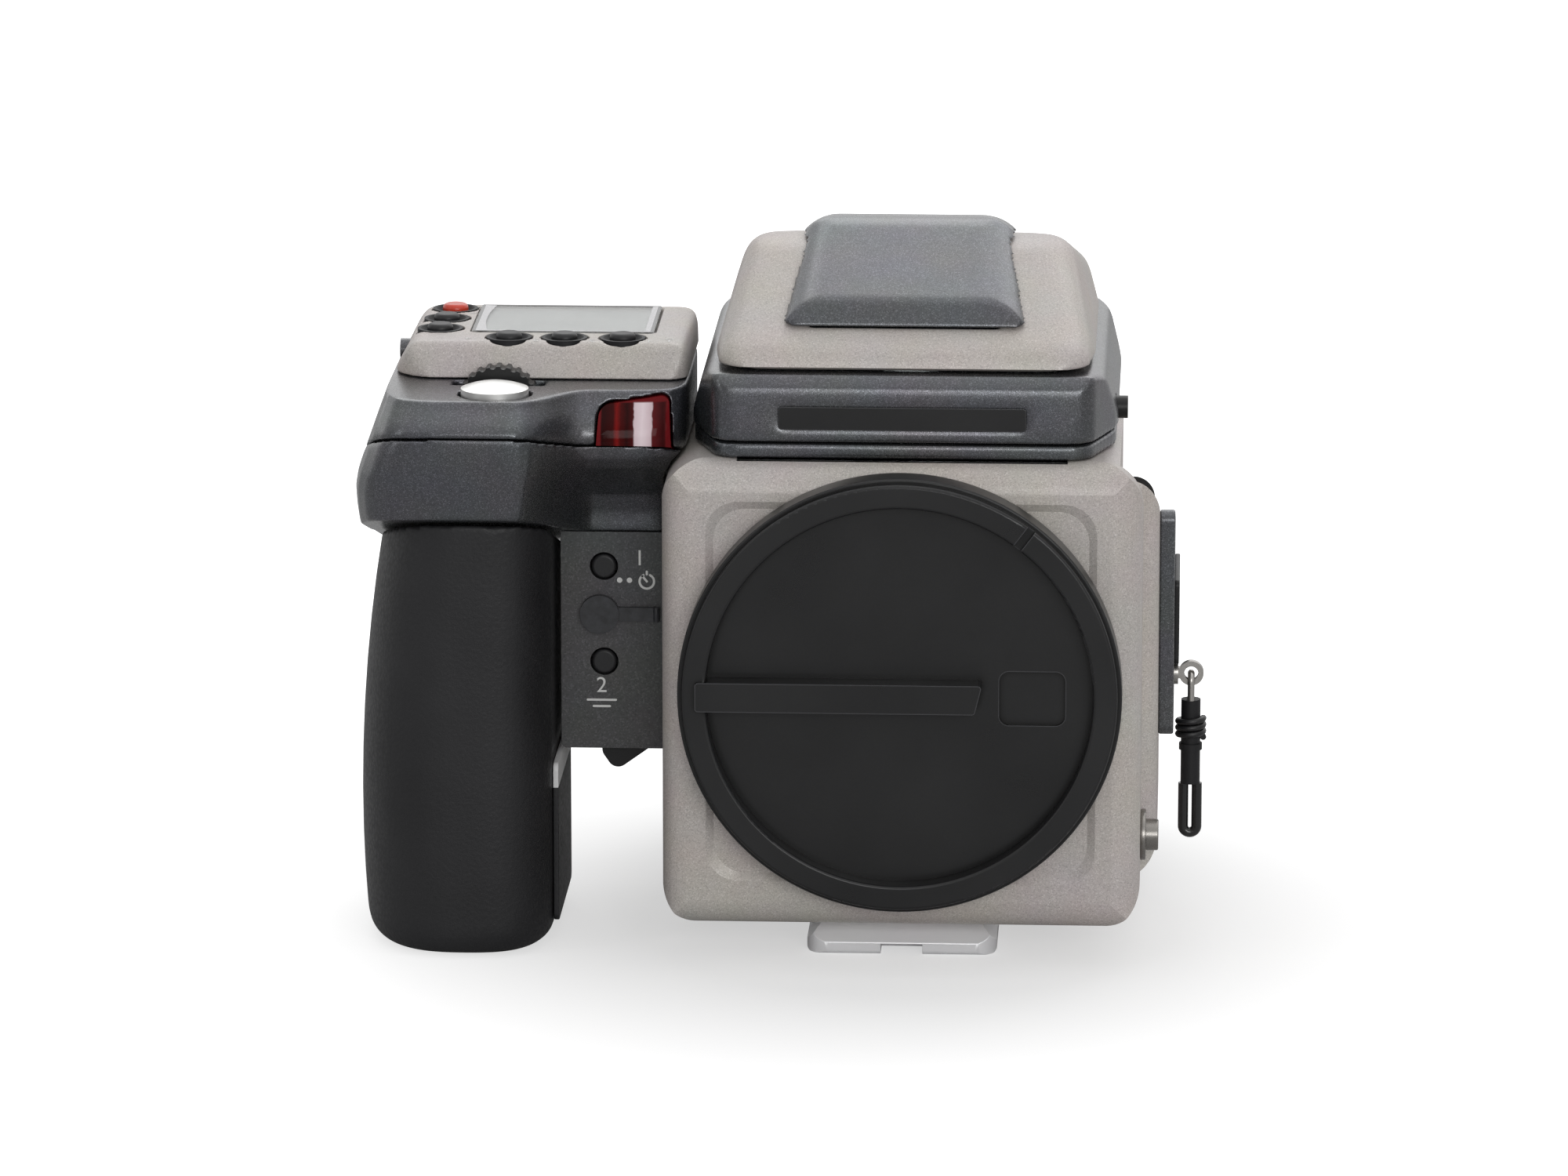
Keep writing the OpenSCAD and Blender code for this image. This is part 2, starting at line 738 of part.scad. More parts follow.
// Tube of round section along a line that stays near level
function tube_ring(line, i) = let (
        n = len(line) - 1,
        d = unit(line[min(i + 1, n)] - line[max(i - 1, 0)]),
        side = unit(cross(d, [0, 0, 1])),
        up = cross(side, d))
    [for (k = [0:cord_sides - 1]) line[i] + cord_r * (cos(360 * k / cord_sides) * side
        + sin(360 * k / cord_sides) * up)];
module strap_binding() {
    color("#161616") loft([for (i = [0:len(binding_line) - 1]) tube_ring(binding_line, i)]);
}
binding_gap = min([for (i = [0:len(binding_line) - 1], j = [0:len(binding_line) - 1])
    if (j - i > cord_rings / 2) norm(binding_line[i] - binding_line[j])]) - 2 * cord_r;
echo(binding_gap = binding_gap);
module strap_hook() {
    color("#151515")
    union() {
        translate([eye_x, eye_y, hook_low]) rotate([0, 0, 90]) mirror([0, 0, 1])
            wire_arch(hook_wire_r, hook_bend_r);
        for (s = [-1, 1])
            bar_z(eye_x + s * hook_bend_r, eye_y, hook_wire_r, hook_low, sleeve_top - sleeve_l);
    }
}
module release_collar() {
    color("#c9c8c4")
    difference() {
        bar_x(release_y, release_z, collar_d / 2, side_x, side_x + collar_t);
        bar_x(release_y, release_z, release_d / 2 + run_gap, side_x - 1, side_x + collar_t + 1);
    }
}
module lens_release() {
    color("#d2d1cd")
    bar_x(release_y, release_z, release_d / 2, side_x - release_in, side_x + release_out);
}

// Body cap
module body_cap() {
    color("#1d1d1e")
    difference() {
        union() {
            translate([0, 0, axis_z]) rotate([90, 0, 0]) rotate_extrude()
                outline([[cap_hub_r - cap_hub_t, cap_hub_rear, 0], [cap_hub_r, cap_hub_rear, 0],
                    [cap_hub_r, cap_rear, 0], [cap_r, cap_rear, 0], [cap_r, cap_face - 2 * cap_step, 0.4],
                    [cap_r - cap_step, cap_face - 2 * cap_step, 0], [cap_r - cap_step, cap_face, 0.6],
                    [cap_r - cap_ring_w, cap_face, 0.6], [cap_r - cap_ring_w, cap_disc, 0], [0, cap_disc, 0],
                    [0, cap_disc - cap_disc_t, 0], [cap_hub_r - cap_hub_t, cap_disc - cap_disc_t, 0]]);
            bayonet_part(cap_hub_r - 0.5, throat_d / 2 + tab_in - run_gap, -cap_lug_front,
                cap_lug_t - cap_lug_front, tab_angle - 4, 0);
            along_y(-cap_face - cap_bar_out, -cap_disc + 0.5) translate([cap_bar_left, axis_z])
                outline([[0, -cap_bar_w / 2, 0.6], [cap_bar_l - cap_bar_w / 4, -cap_bar_w / 2, 0.6],
                    [cap_bar_l, cap_bar_w / 2, 0.6], [0, cap_bar_w / 2, 0.6]]);
        }
        translate([0, 0, axis_z]) rotate([0, -cap_notch_turn, 0])
            block([cap_r - cap_ring_w - 1, -cap_face - 1, -cap_notch_w / 2],
                [cap_r + 1, -cap_face + cap_step, cap_notch_w / 2]);
        along_y(-cap_disc - 1, -cap_disc + cap_pocket_d) translate([cap_pocket_x, axis_z - 0.7])
            outline(even_rect(-cap_pocket / 2, cap_pocket / 2, 1.8));
    }
}

// Finder
function finder_plan(inset) = let (
        f = finder_front_w / 2 - inset,
        s = finder_w / 2 - inset,
        e = eye_block_w / 2 - inset,
        y0 = finder_front + inset,
        y1 = finder_back - inset)
    [[-f, y0, 5], [f, y0, 5], [s, y0 + 16, 14], [s, y1 - 32, 9], [e, y1 - 12, 6], [e, y1, 2], [-e, y1, 2],
        [-e, y1 - 12, 6], [-s, y1 - 32, 9], [-s, y0 + 16, 14]];
module light_well(z0, z1, ledge = 0) {
    block([ledge - well_w / 2, well_front + ledge, z0], [well_w / 2 - ledge, well_back - ledge, z1]);
}
module finder_rail() {
    color("#3a3c3f")
    difference() {
        along_z(top_z, rail_z) outline(finder_plan(0.3));
        light_well(top_z - 1, rail_z + 1, well_ledge);
    }
}
module finder_base() {
    lean = 2.6;
    color("#424447")
    difference() {
        intersection() {
            along_z(rail_z, casing_z) outline(finder_plan(0));
            along_y(finder_front - 1, finder_back + 1)
                outline([[-finder_w / 2 - 1, rail_z - 1, 0], [finder_w / 2 + 1, rail_z - 1, 0],
                    [finder_w / 2 - lean, casing_z, 4], [lean - finder_w / 2, casing_z, 4]]);
            along_x(-finder_w, finder_w)
                outline([[finder_front - 0.2, rail_z - 1, 0], [finder_back + 1, rail_z - 1, 0],
                    [finder_back + 1, casing_z - 1, 0], [finder_back - 2, casing_z + 1, 0],
                    [roof_front, casing_z + 1, 0], [roof_front - 0.6, casing_z - 0.5, 1],
                    [finder_front + 0.4, casing_z - 2.2, 2.4]]);
        }
        light_well(rail_z - 1, casing_z + 1);
        bar_y(0, eyepiece_z, eyepiece_r, well_back - 1, finder_back + 1);
        bar_y(0, eyepiece_z, eyepiece_r + 1 + fit_gap, finder_back - 4, finder_back + 1);
        along_y(finder_front - 1, finder_front + badge_t + 0.1) translate([0, badge_z])
            outline(even_rect(-badge_size / 2 - fit_gap * [1, 1], badge_size / 2 + fit_gap * [1, 1], 0.8));
        bar_x(finder_key_y, finder_key_z, finder_key_d / 2 + run_gap,
            finder_w / 2 - finder_key_in - finder_key_travel - run_gap, finder_w);
        bar_x(dial_y, eyepiece_z, dial_pin_r + shaft_gap, eye_block_w / 2 - dial_pin_l - run_gap, finder_w);
    }
}
// Rounded hood of the finder; a positive grow makes the space that other pieces keep clear of it
module roof_side(s, low, grow) {
    x = roof_w / 2 + 0.25 - roof_lean * (peak_z - low) + grow;
    rise = (peak_z - low - roof_foot) / (crest_y - roof_front - 1.2);
    z = peak_z + grow + (s > 0 ? 0 : lift);
    intersection() {
        wedge([s * x, crest_y, z], [0, -rise, 1], [s, 0, roof_lean], roof_edge_r);
        wedge([s * (x + lift), crest_y, z], [0, roof_fall, 1], [s, 0, roof_lean], roof_edge_r);
    }
}
module roof_form(grow = 0) {
    g = grow;
    w = roof_w / 2;
    low = casing_z + shadow_gap;
    rear_z = peak_z - roof_fall * (roof_back - crest_y);
    intersection() {
        along_z(low, peak_z + 2 * g + 1)
            outline([[1.5 - w - g, roof_front - g, 7], [w - 1.5 + g, roof_front - g, 7],
                [w + g, roof_front + 16, 14], [w + g, roof_back - 22, 14],
                [w - 9 + g, roof_back + g, 6], [9 - w - g, roof_back + g, 6],
                [-w - g, roof_back - 22, 14], [-w - g, roof_front + 16, 14]]);
        along_x(-w - 1 - g, w + 1 + g)
            outline([[roof_front - g, low - 1, 0], [roof_back + g, low - 1, 0], [roof_back + g, rear_z + g + 2 * lift, 4],
                [crest_y, peak_z + g + 2 * lift, 24],
                [roof_front + 1.2 - g, low + roof_foot + g + 2 * lift, 2.5]]);
        roof_side(1, low, g);
        roof_side(-1, low, g);
    }
}
module finder_roof() {
    color("#9c928a")
    difference() {
        union() {
            roof_form();
            along_z(casing_z, casing_z + 2 * shadow_gap)
                outline(even_rect([spigot_in - roof_w / 2, roof_front + spigot_front],
                    [roof_w / 2 - spigot_in, roof_back - spigot_back], spigot_r));
        }
        prism_form(prism_gap);
        block([-head_w / 2 - run_gap, head_front - 3, head_low - run_gap],
            [head_w / 2 + run_gap, head_back + 1, roof_z + 1]);
        block([-lid_barrel_l / 2 - run_gap, lid_pivot_y - 3, lid_pivot_z - lid_barrel_r - run_gap],
            [lid_barrel_l / 2 + run_gap, lid_pivot_y + 4, roof_z + 1]);
        bar_x(lid_pivot_y, lid_pivot_z, lid_pin_r + shaft_gap, -lid_barrel_l / 2 - lid_pin_l - run_gap,
            lid_barrel_l / 2 + lid_pin_l + run_gap);
        block([-shoe_w / 2 - 2, shoe_y - shoe_l / 2 - fit_gap, shoe_z],
            [shoe_w / 2 + 2, roof_back + 1, roof_z]);
    }
}
module prism_form(grow) {
    y0 = well_front + prism_in - grow;
    y1 = well_back - prism_rear_in + grow;
    along_x(-well_w / 2 + prism_in - grow, well_w / 2 - prism_in + grow)
        outline([[y0, rail_z, 0], [y1, rail_z, 0], [y1, casing_z + prism_rear_h + grow, 0],
            [well_back - prism_ridge_in, casing_z + prism_ridge_h + grow, 0],
            [head_back + prism_valley_in, casing_z + prism_valley_h + grow, 0],
            [y0, casing_z + prism_front_h + grow, 0]]);
}
module prism() {
    color("#cfdad9") prism_form(0);
}
// Lid of the flash, a little proud of the roof and tapering to the rear
module lid_side(s) {
    x = flash_w / 2 + 0.3 - lid_lean * (lid_peak - lid_crease_z + 5);
    rise = (lid_peak - lid_crease_z) / (crest_y - lid_crease_y);
    z = lid_peak + (s > 0 ? 0 : lift);
    intersection() {
        wedge([s * x, crest_y, z], [0, -rise, 1], [s, 0, lid_lean], lid_edge_r);
        wedge([s * (x + lift), crest_y, z], [0, lid_fall, 1], [s, 0, lid_lean], lid_edge_r);
    }
}
module lid_form() {
    f = flash_w / 2;
    low = roof_z - 13;
    intersection() {
        along_z(low, lid_peak + 1)
            outline([[-f, lid_front, 4], [f, lid_front, 4], [f - 3.5, lid_back, 3],
                [3.5 - f, lid_back, 3]]);
        along_x(-f - 1, f + 1)
            outline([[lid_front - 0.2, low - 1, 0], [lid_back + 0.2, low - 1, 0],
                [lid_back + 0.2, lid_peak - lid_fall * (lid_back - crest_y) + 2 * lift, 1.5],
                [crest_y, lid_peak + 2 * lift, 20], [lid_crease_y, lid_crease_z + 2 * lift, 3.5],
                [lid_front - 0.2, roof_z - 12.3, 1.5]]);
        lid_side(1);
        lid_side(-1);
    }
}
module flash_cover() {
    color("#4b4d50")
    union() {
        difference() {
            lid_form();
            difference() {
                roof_form(run_gap);
                block([-head_w / 2, head_front, head_low + head_t], [head_w / 2, head_back, roof_z]);
                block([1 - lid_barrel_l / 2, lid_pivot_y - 1.2, lid_pivot_z],
                    [lid_barrel_l / 2 - 1, lid_pivot_y + 5, roof_z + 2]);
            }
        }
        bar_x(lid_pivot_y, lid_pivot_z, lid_barrel_r, -lid_barrel_l / 2, lid_barrel_l / 2);
        bar_x(lid_pivot_y, lid_pivot_z, lid_pin_r, -lid_barrel_l / 2 - lid_pin_l, lid_barrel_l / 2 + lid_pin_l);
    }
}
module flash_head() {
    color("#d9dcd8")
    along_x(-head_w / 2, head_w / 2)
        outline(rect([head_front, head_low], [head_back, head_low + head_t], [1, 0.6, 0, 0]));
}
module badge_plate() {
    color("#202123")
    along_y(finder_front + 0.1, finder_front + 0.1 + badge_t) translate([0, badge_z])
        outline(even_rect(-badge_size / 2, badge_size / 2, 0.7));
}
module finder_release() {
    color("#1b1b1c")
    bar_x(finder_key_y, finder_key_z, finder_key_d / 2, finder_w / 2 - finder_key_in,
        finder_w / 2 + finder_key_out);
}
module hot_shoe() {
    color("#a9a8a5")
    translate([0, shoe_y, shoe_z]) difference() {
        block([-shoe_w / 2, -shoe_l / 2, 0], [shoe_w / 2, shoe_l / 2, shoe_base_t + shoe_slot_h + shoe_lip_t]);
        block([-shoe_slot_w / 2, 1.5 - shoe_l / 2, shoe_base_t],
            [shoe_slot_w / 2, shoe_l, shoe_base_t + shoe_slot_h]);
        block([-shoe_mouth_w / 2, 1.5 - shoe_l / 2, shoe_base_t], [shoe_mouth_w / 2, shoe_l, shoe_h]);
        bar_z(0, 0, 1.2, -1, shoe_h);
    }
}
module eyepiece_lens() {
    color("#cfdde2")
    translate([0, finder_back - 4, eyepiece_z]) rotate([-90, 0, 0]) intersection() {
        cylinder(r = eyepiece_r + 1, h = 3);
        translate([0, 0, 3 - 40]) sphere(r = 40, $fn = 96);
    }
}
module eyecup() {
    color("#1a1a1a")
    translate([0, finder_back, eyepiece_z]) rotate([-90, 0, 0]) rotate_extrude()
        outline([[eyepiece_r - 1, 0, 0], [eyecup_r - 2, 0, 0], [eyecup_r - 1.6, 3, 1.5],
            [eyecup_r, eyecup_l - 1.5, 0], [eyecup_r, eyecup_l, 0.7],
            [eyecup_r - 1.8, eyecup_l, 0.7], [eyepiece_r, 3, 2]]);
}
module diopter_dial() {
    color("#1c1c1d")
    union() {
        difference() {
            bar_x(dial_y, eyepiece_z, dial_r, eye_block_w / 2 + run_gap, eye_block_w / 2 + run_gap + dial_t);
            for (a = [0:20:359]) translate([eye_block_w / 2, dial_y, eyepiece_z]) rotate([a, 0, 0])
                translate([0, dial_r + 0.25, 0]) rotate([0, 90, 0]) cylinder(r = 0.6, h = 2 * dial_t + 1);
        }
        bar_x(dial_y, eyepiece_z, dial_pin_r, eye_block_w / 2 - dial_pin_l, eye_block_w / 2 + run_gap + 0.5);
    }
}

// Grip shoulder: one form, lofted upwards, that the two shells are cut from
function rounded(p, n) = p / pow(pow(abs(p.x), n) + pow(abs(p.y), n), 1 / n);
function square_point(k, n) = let (
        t = 4 * k / ring_points,
        side = floor(t),
        u = 2 * (t - side) - 1)
    rounded([[u, -1], [1, u], [-u, 1], [-1, -u]][side], n);
shoulder_square = concat([for (k = [0:front_points - 1]) [2 * k / front_points - 1, -1]],
    [for (k = [0:side_points - 1]) [1, 2 * k / side_points - 1]],
    [for (k = [0:side_points - 1]) [1 - 2 * k / side_points, 1]],
    [for (k = [0:side_points - 1]) [-1, 1 - 2 * k / side_points]]);
function shoulder_left(z) = grip_left + shoulder_lean * max(0, min(1, (z - grip_top + 16) / 16))
    + 1.4 * ease(grip_top - 18, grip_top - 32, z);
function shoulder_front(x, z) = let (
        bulge = bulge_y + 4.7 * ease(grip_top - 5.5, grip_top + 0.5, z)
            + 2.5 * ease(grip_top - 8, grip_top - 29, z),
        hollow = front_y + hollow_in + 4.5 * ease(grip_top - 8, grip_top + 1, z)
            + 13.6 * ease(grip_top - 10, grip_top - 25, z))
    bulge + (hollow - bulge) * ease(key_x + 4, key_x + 17, x);
function shoulder_ring(z) = let (x0 = shoulder_left(z), x1 = grip_right, mid_y = 5)
    [for (q = shoulder_square) let (
            p = rounded(q, 7),
            x = (x0 + x1) / 2 + p.x * (x1 - x0) / 2,
            y = p.y < 0 ? mid_y + p.y * (mid_y - shoulder_front(x, z)) : mid_y + p.y * (grip_rear - mid_y))
        [x, y, z]];
module shoulder_form() {
    loft([for (d = [44, 36, 30, 25, 21, 17.5, 14.5, 12, 9.5, 7.5, 5.5, 4, 2.6, 1.4, 0.5, -0.5])
        shoulder_ring(grip_top - d)]);
}
// Space above a plane that falls towards the rear
module above_plane(z) {
    translate([0, split_y, z]) rotate([-split_tilt, 0, 0])
        block([-reach, -reach, 0], [reach, reach, reach]);
}
module wheel_slot() {
    block([key_x - wheel_d / 2 - run_gap, wheel_y - wheel_t / 2 - run_gap, wheel_z - wheel_d / 2 - run_gap],
        [key_x + wheel_d / 2 + run_gap, wheel_y + wheel_t / 2 + run_gap, grip_top + 1]);
}
module af_prism(inset, y0, y1) {
    i = inset;
    along_y(y0, y1) outline([[af_left + i, join_z, 0], [af_right - i, join_z, 0],
        [af_right - 1.1 - i, af_top - i, 1.6], [af_left + 1.4 + i, af_top - 1.6 - i, 2.4]]);
}
module shoulder_upper() {
    color("#3e4043")
    difference() {
        shoulder_form();
        block([-reach, -reach, grip_top], [0, reach, cover_z]);
        difference() {
            block([-reach, -reach, 0], [0, reach, grip_top + 1]);
            above_plane(split_z);
        }
        body_envelope(run_gap);
        bar_z(key_x, shutter_y, shutter_d / 2 + run_gap, grip_top - shutter_in - shutter_travel, grip_top + 1);
        wheel_slot();
        bar_y(key_x, wheel_z, wheel_pin_r + shaft_gap, wheel_y - wheel_t / 2 - wheel_pin_l - run_gap,
            wheel_y + wheel_t / 2 + wheel_pin_l + run_gap);
        af_prism(0, -reach, af_back);
        bar_z(rear_wheel_x, rear_wheel_y, rear_wheel_d / 2 + run_gap, rear_wheel_z - rear_wheel_t / 2 - run_gap,
            rear_wheel_z + rear_wheel_t / 2 + run_gap);
        bar_z(rear_wheel_x, rear_wheel_y, wheel_pin_r + shaft_gap, rear_wheel_z - rear_wheel_t / 2 - wheel_pin_l
            - run_gap, rear_wheel_z + rear_wheel_t / 2 + wheel_pin_l + run_gap);
    }
}
module shoulder_lower() {
    color("#393b3e")
    difference() {
        shoulder_form();
        above_plane(split_z);
        difference() {
            block([-reach, -reach, 0], [0, reach, grip_top + 1]);
            above_plane(join_z);
        }
        body_envelope(run_gap);
        wheel_slot();
    }
}
module af_window() {
    y = front_y + hollow_in + af_wall;
    color("#5a0d16")
    difference() {
        intersection() {
            shoulder_form();
            af_prism(fit_gap, -reach, af_back);
            above_plane(split_z);
        }
        along_x(af_left + 1.2, af_right - 1.8)
            outline([[y, join_z, 0], [af_back + 1, join_z, 0], [af_back + 1, af_top - 3, 0],
                [y + 3, af_top - 3, 0], [y, grip_top - 7, 0]]);
    }
}
module af_reflector() {
    color("#b9b9bd")
    difference() {
        intersection() {
            block([af_left + 3, af_back - 4, join_z], [af_right - 3, af_back, af_top - 4]);
            above_plane(split_z + fit_gap);
        }
        bar_z((af_left + af_right) / 2, af_back - 8, 6, join_z - 1, af_top);
    }
}
module knurled_wheel(d, t, ribs) {
    difference() {
        cylinder(d = d, h = t);
        for (k = [0:ribs - 1]) rotate(360 * k / ribs)
            translate([d / 2 + 0.15, 0, -1]) cylinder(r = 0.62, h = t + 2);
    }
}
module front_wheel() {
    color("#1d1d1e")
    translate([key_x, wheel_y + wheel_t / 2, wheel_z]) rotate([90, 0, 0]) union() {
        knurled_wheel(wheel_d, wheel_t, wheel_ribs);
        translate([0, 0, -wheel_pin_l]) cylinder(r = wheel_pin_r, h = wheel_t + 2 * wheel_pin_l);
    }
}
module rear_wheel() {
    color("#1d1d1e")
    translate([rear_wheel_x, rear_wheel_y, rear_wheel_z - rear_wheel_t / 2]) union() {
        knurled_wheel(rear_wheel_d, rear_wheel_t, wheel_ribs);
        translate([0, 0, -wheel_pin_l]) cylinder(r = wheel_pin_r, h = rear_wheel_t + 2 * wheel_pin_l);
    }
}
module shutter_button() {
    r = shutter_d / 2;
    dome_r = (r * r + shutter_dome * shutter_dome) / (2 * shutter_dome);
    color("#d8d6d0")
    translate([key_x, shutter_y, grip_top]) intersection() {
        translate([0, 0, -shutter_in]) cylinder(r = r, h = shutter_in + shutter_rim + shutter_dome + 1);
        translate([0, 0, shutter_rim + shutter_dome - dome_r]) sphere(r = dome_r, $fn = 96);
    }
}

// Top cover with display and keys
module display_pocket(grow, z0, z1) {
    along_z(z0, z1)
        outline(even_rect([display_x - display_w / 2 - grow, display_back - display_d - grow],
            [display_x + display_w / 2 + grow, display_back + grow], 1.2));
}
module grip_top_cover() {
    color("#9c928a")
    difference() {
        intersection() {
            along_z(grip_top, cover_z)
                outline([[cover_left, cover_front, 8], [cover_right, cover_front, 4],
                    [cover_right, cover_back, 4], [cover_left + 2.5, cover_back, 8]]);
            along_y(cover_front - 1, cover_back + 1)
                outline([[cover_left - 0.6, grip_top - 1, 0], [cover_right + 0.5, grip_top - 1, 0],
                    [cover_right - 0.4, cover_z, 2.4], [cover_left + 3.6, cover_z, 3]]);
            along_x(cover_left - 1, cover_right + 1)
                outline([[cover_front - 0.5, grip_top - 1, 0], [cover_back + 0.5, grip_top - 1, 0],
                    [cover_back - 0.4, cover_z, 1.6], [cover_front + 2.4, cover_z, 2.4]]);
        }
        display_pocket(fit_gap, cover_z - display_t, cover_z + 1);
        display_pocket(fit_gap - display_rim, cover_z - display_depth, cover_z + 1);
        for (k = all_keys) {
            bar_z(k.x, k.y, seal_r + fit_gap, cover_z - seal_t, cover_z + 1);
            bar_z(k.x, k.y, key_d / 2 + run_gap, cover_z - seal_t - key_travel - run_gap, cover_z + 1);
        }
        bar_x(stud_y, stud_z, grip_stud_r + shaft_gap, cover_left - 1, stud_right);
    }
}
module display_window() {
    color("#c9d1cf") display_pocket(0, cover_z - display_t, cover_z);
}
module display_panel() {
    color("#8f9690") display_pocket(-display_rim, cover_z - display_depth, cover_z - display_depth + panel_t);
}
module button_seals() {
    color("#19191a")
    for (k = all_keys) translate([k.x, k.y, cover_z - seal_t]) rotate_extrude()
        polygon([[key_d / 2 + run_gap, 0], [seal_r, 0], [seal_r, seal_t], [seal_r - 0.6, seal_t],
            [key_d / 2 + run_gap, seal_t - 0.9]]);
}
module top_key(place) {
    r = key_d / 2;
    translate([place.x, place.y, cover_z - seal_t]) rotate_extrude()
        outline([[0, 0, 0], [r, 0, 0], [r, seal_t + key_out, 0.9], [0, seal_t + key_out, 0]]);
}
module power_button() { color("#d8442a") top_key(side_keys[0]); }
module profile_button() { color("#1f1f20") top_key(side_keys[1]); }
module menu_button() { color("#1f1f20") top_key(side_keys[2]); }
module iso_button() { color("#1f1f20") top_key(front_keys[0]); }
module focus_button() { color("#1f1f20") top_key(front_keys[1]); }
module flash_button() { color("#1f1f20") top_key(front_keys[2]); }
module grip_strap_stud() {
    color("#2a2b2d")
    bar_x(stud_y, stud_z, grip_stud_r, stud_left, stud_right);
}

// Bridge between grip and body, with the front panel
module below_join() {
    difference() {
        children();
        above_plane(join_z);
    }
}
module grip_bridge() {
    color("#2c2d2f")
    difference() {
        below_join()
            along_z(bridge_low, join_z)
            outline(rect([bridge_left, bridge_front], [-side_x, bridge_back], [0, 0, 0, 4]));
        for (z = [mirror_key_z, stop_key_z])
            bar_y(panel_key_x, z, panel_key_d / 2 + run_gap, bridge_front - 1,
                panel_front + panel_key_in + key_travel + run_gap);
        bar_y(port_x, port_z, port_r, bridge_front - 1, panel_front + port_depth);
        difference() {
            block([lever_x - lever_room, bridge_front - 1, bridge_low - 1],
                [lever_x + 4.2, lever_front + lever_t + run_gap, bridge_low + 8.5]);
            bar_y(lever_x, lever_z, lever_pin_r, bridge_front, lever_front + lever_t + 2);
        }
    }
}
module front_panel() {
    color("#3a3b3d")
    difference() {
        below_join()
            along_y(panel_front, bridge_front)
            outline(rect([bridge_left, bridge_low], [-side_x - fit_gap, join_z], [1, 0.6, 0, 0]));
        for (z = [mirror_key_z, stop_key_z])
            bar_y(panel_key_x, z, panel_key_d / 2 + run_gap, panel_front - 1, bridge_front + 1);
        bar_y(port_x, port_z, port_r, panel_front - 1, bridge_front + 1);
    }
}
module panel_key(z) {
    translate([panel_key_x, panel_front + panel_key_in, z]) rotate([90, 0, 0]) rotate_extrude()
        outline([[0, 0, 0], [panel_key_d / 2, 0, 0], [panel_key_d / 2, panel_key_in + panel_key_out, 0.6],
            [0, panel_key_in + panel_key_out, 0]]);
}
module mirror_up_button() { color("#1b1b1c") panel_key(mirror_key_z); }
module stop_down_button() { color("#1b1b1c") panel_key(stop_key_z); }
module port_cover() {
    color("#161617")
    union() {
        bar_y(port_x, port_z, port_cover_r, panel_front - port_cover_t, panel_front);
        bar_y(port_x, port_z, port_r - run_gap, panel_front - 0.5, panel_front + 1.6);
        along_y(panel_front - tether_t, panel_front)
            outline(even_rect([port_x, port_z - tether_w / 2], [tether_x, port_z + tether_w / 2], 0.5));
        bar_z(tether_x, bead_y, bead_r, port_z - tether_w / 2 - lift, port_z + tether_w / 2 + lift);
    }
}
module battery_lever() {
    color("#191919")
    difference() {
        along_y(lever_front, lever_front + lever_t)
            outline([[lever_x - 7, lever_z + 1.5, 1], [lever_x - 6.6, lever_low + 3.5, 2],
                [lever_x - 4.2, lever_low, 2], [lever_x + 2.2, bridge_low - 0.4, 1.2],
                [lever_x + 2.8, lever_z + 2, 1.6]]);
        bar_y(lever_x, lever_z, lever_pin_r + shaft_gap, lever_front - 1, lever_front + lever_t + 1);
    }
}

// Battery grip, lofted upwards with a swollen outer side and a flat inner one
function battery_ring(z, inset) = let (
        x0 = battery_left + 0.0017 * pow(z - 26, 2) + inset,
        x1 = battery_right - inset,
        y0 = battery_y - battery_d / 2 + inset,
        y1 = battery_y + battery_d / 2 - inset)
    [for (k = [0:ring_points - 1]) let (n = square_point(k, 3).x < 0 ? 2.6 : 3.6, p = square_point(k, n))
        [(x0 + x1) / 2 + p.x * (x1 - x0) / 2, (y0 + y1) / 2 + p.y * (y1 - y0) / 2, z]];
module battery_grip() {
    color("#222223")
    difference() {
        loft(concat([for (a = [0:22.5:90])
                battery_ring(battery_edge * (1 - cos(a)), battery_edge * (1 - sin(a)))],
            [for (t = [1:10]) battery_ring(battery_edge + (join_z - battery_edge) * t / 10, 0)]));
        translate([0, 0, -run_gap]) above_plane(join_z);
        block([battery_right - battery_flat, -battery_d, -1], [battery_right + 1, battery_d, grip_top]);
    }
}
module grip_strip() {
    color("#8f9092")
    along_x(battery_right - battery_flat, bridge_left)
        outline(even_rect([battery_y - strip_l / 2, battery_edge], [battery_y + strip_l / 2, strip_top], 1.5));
}

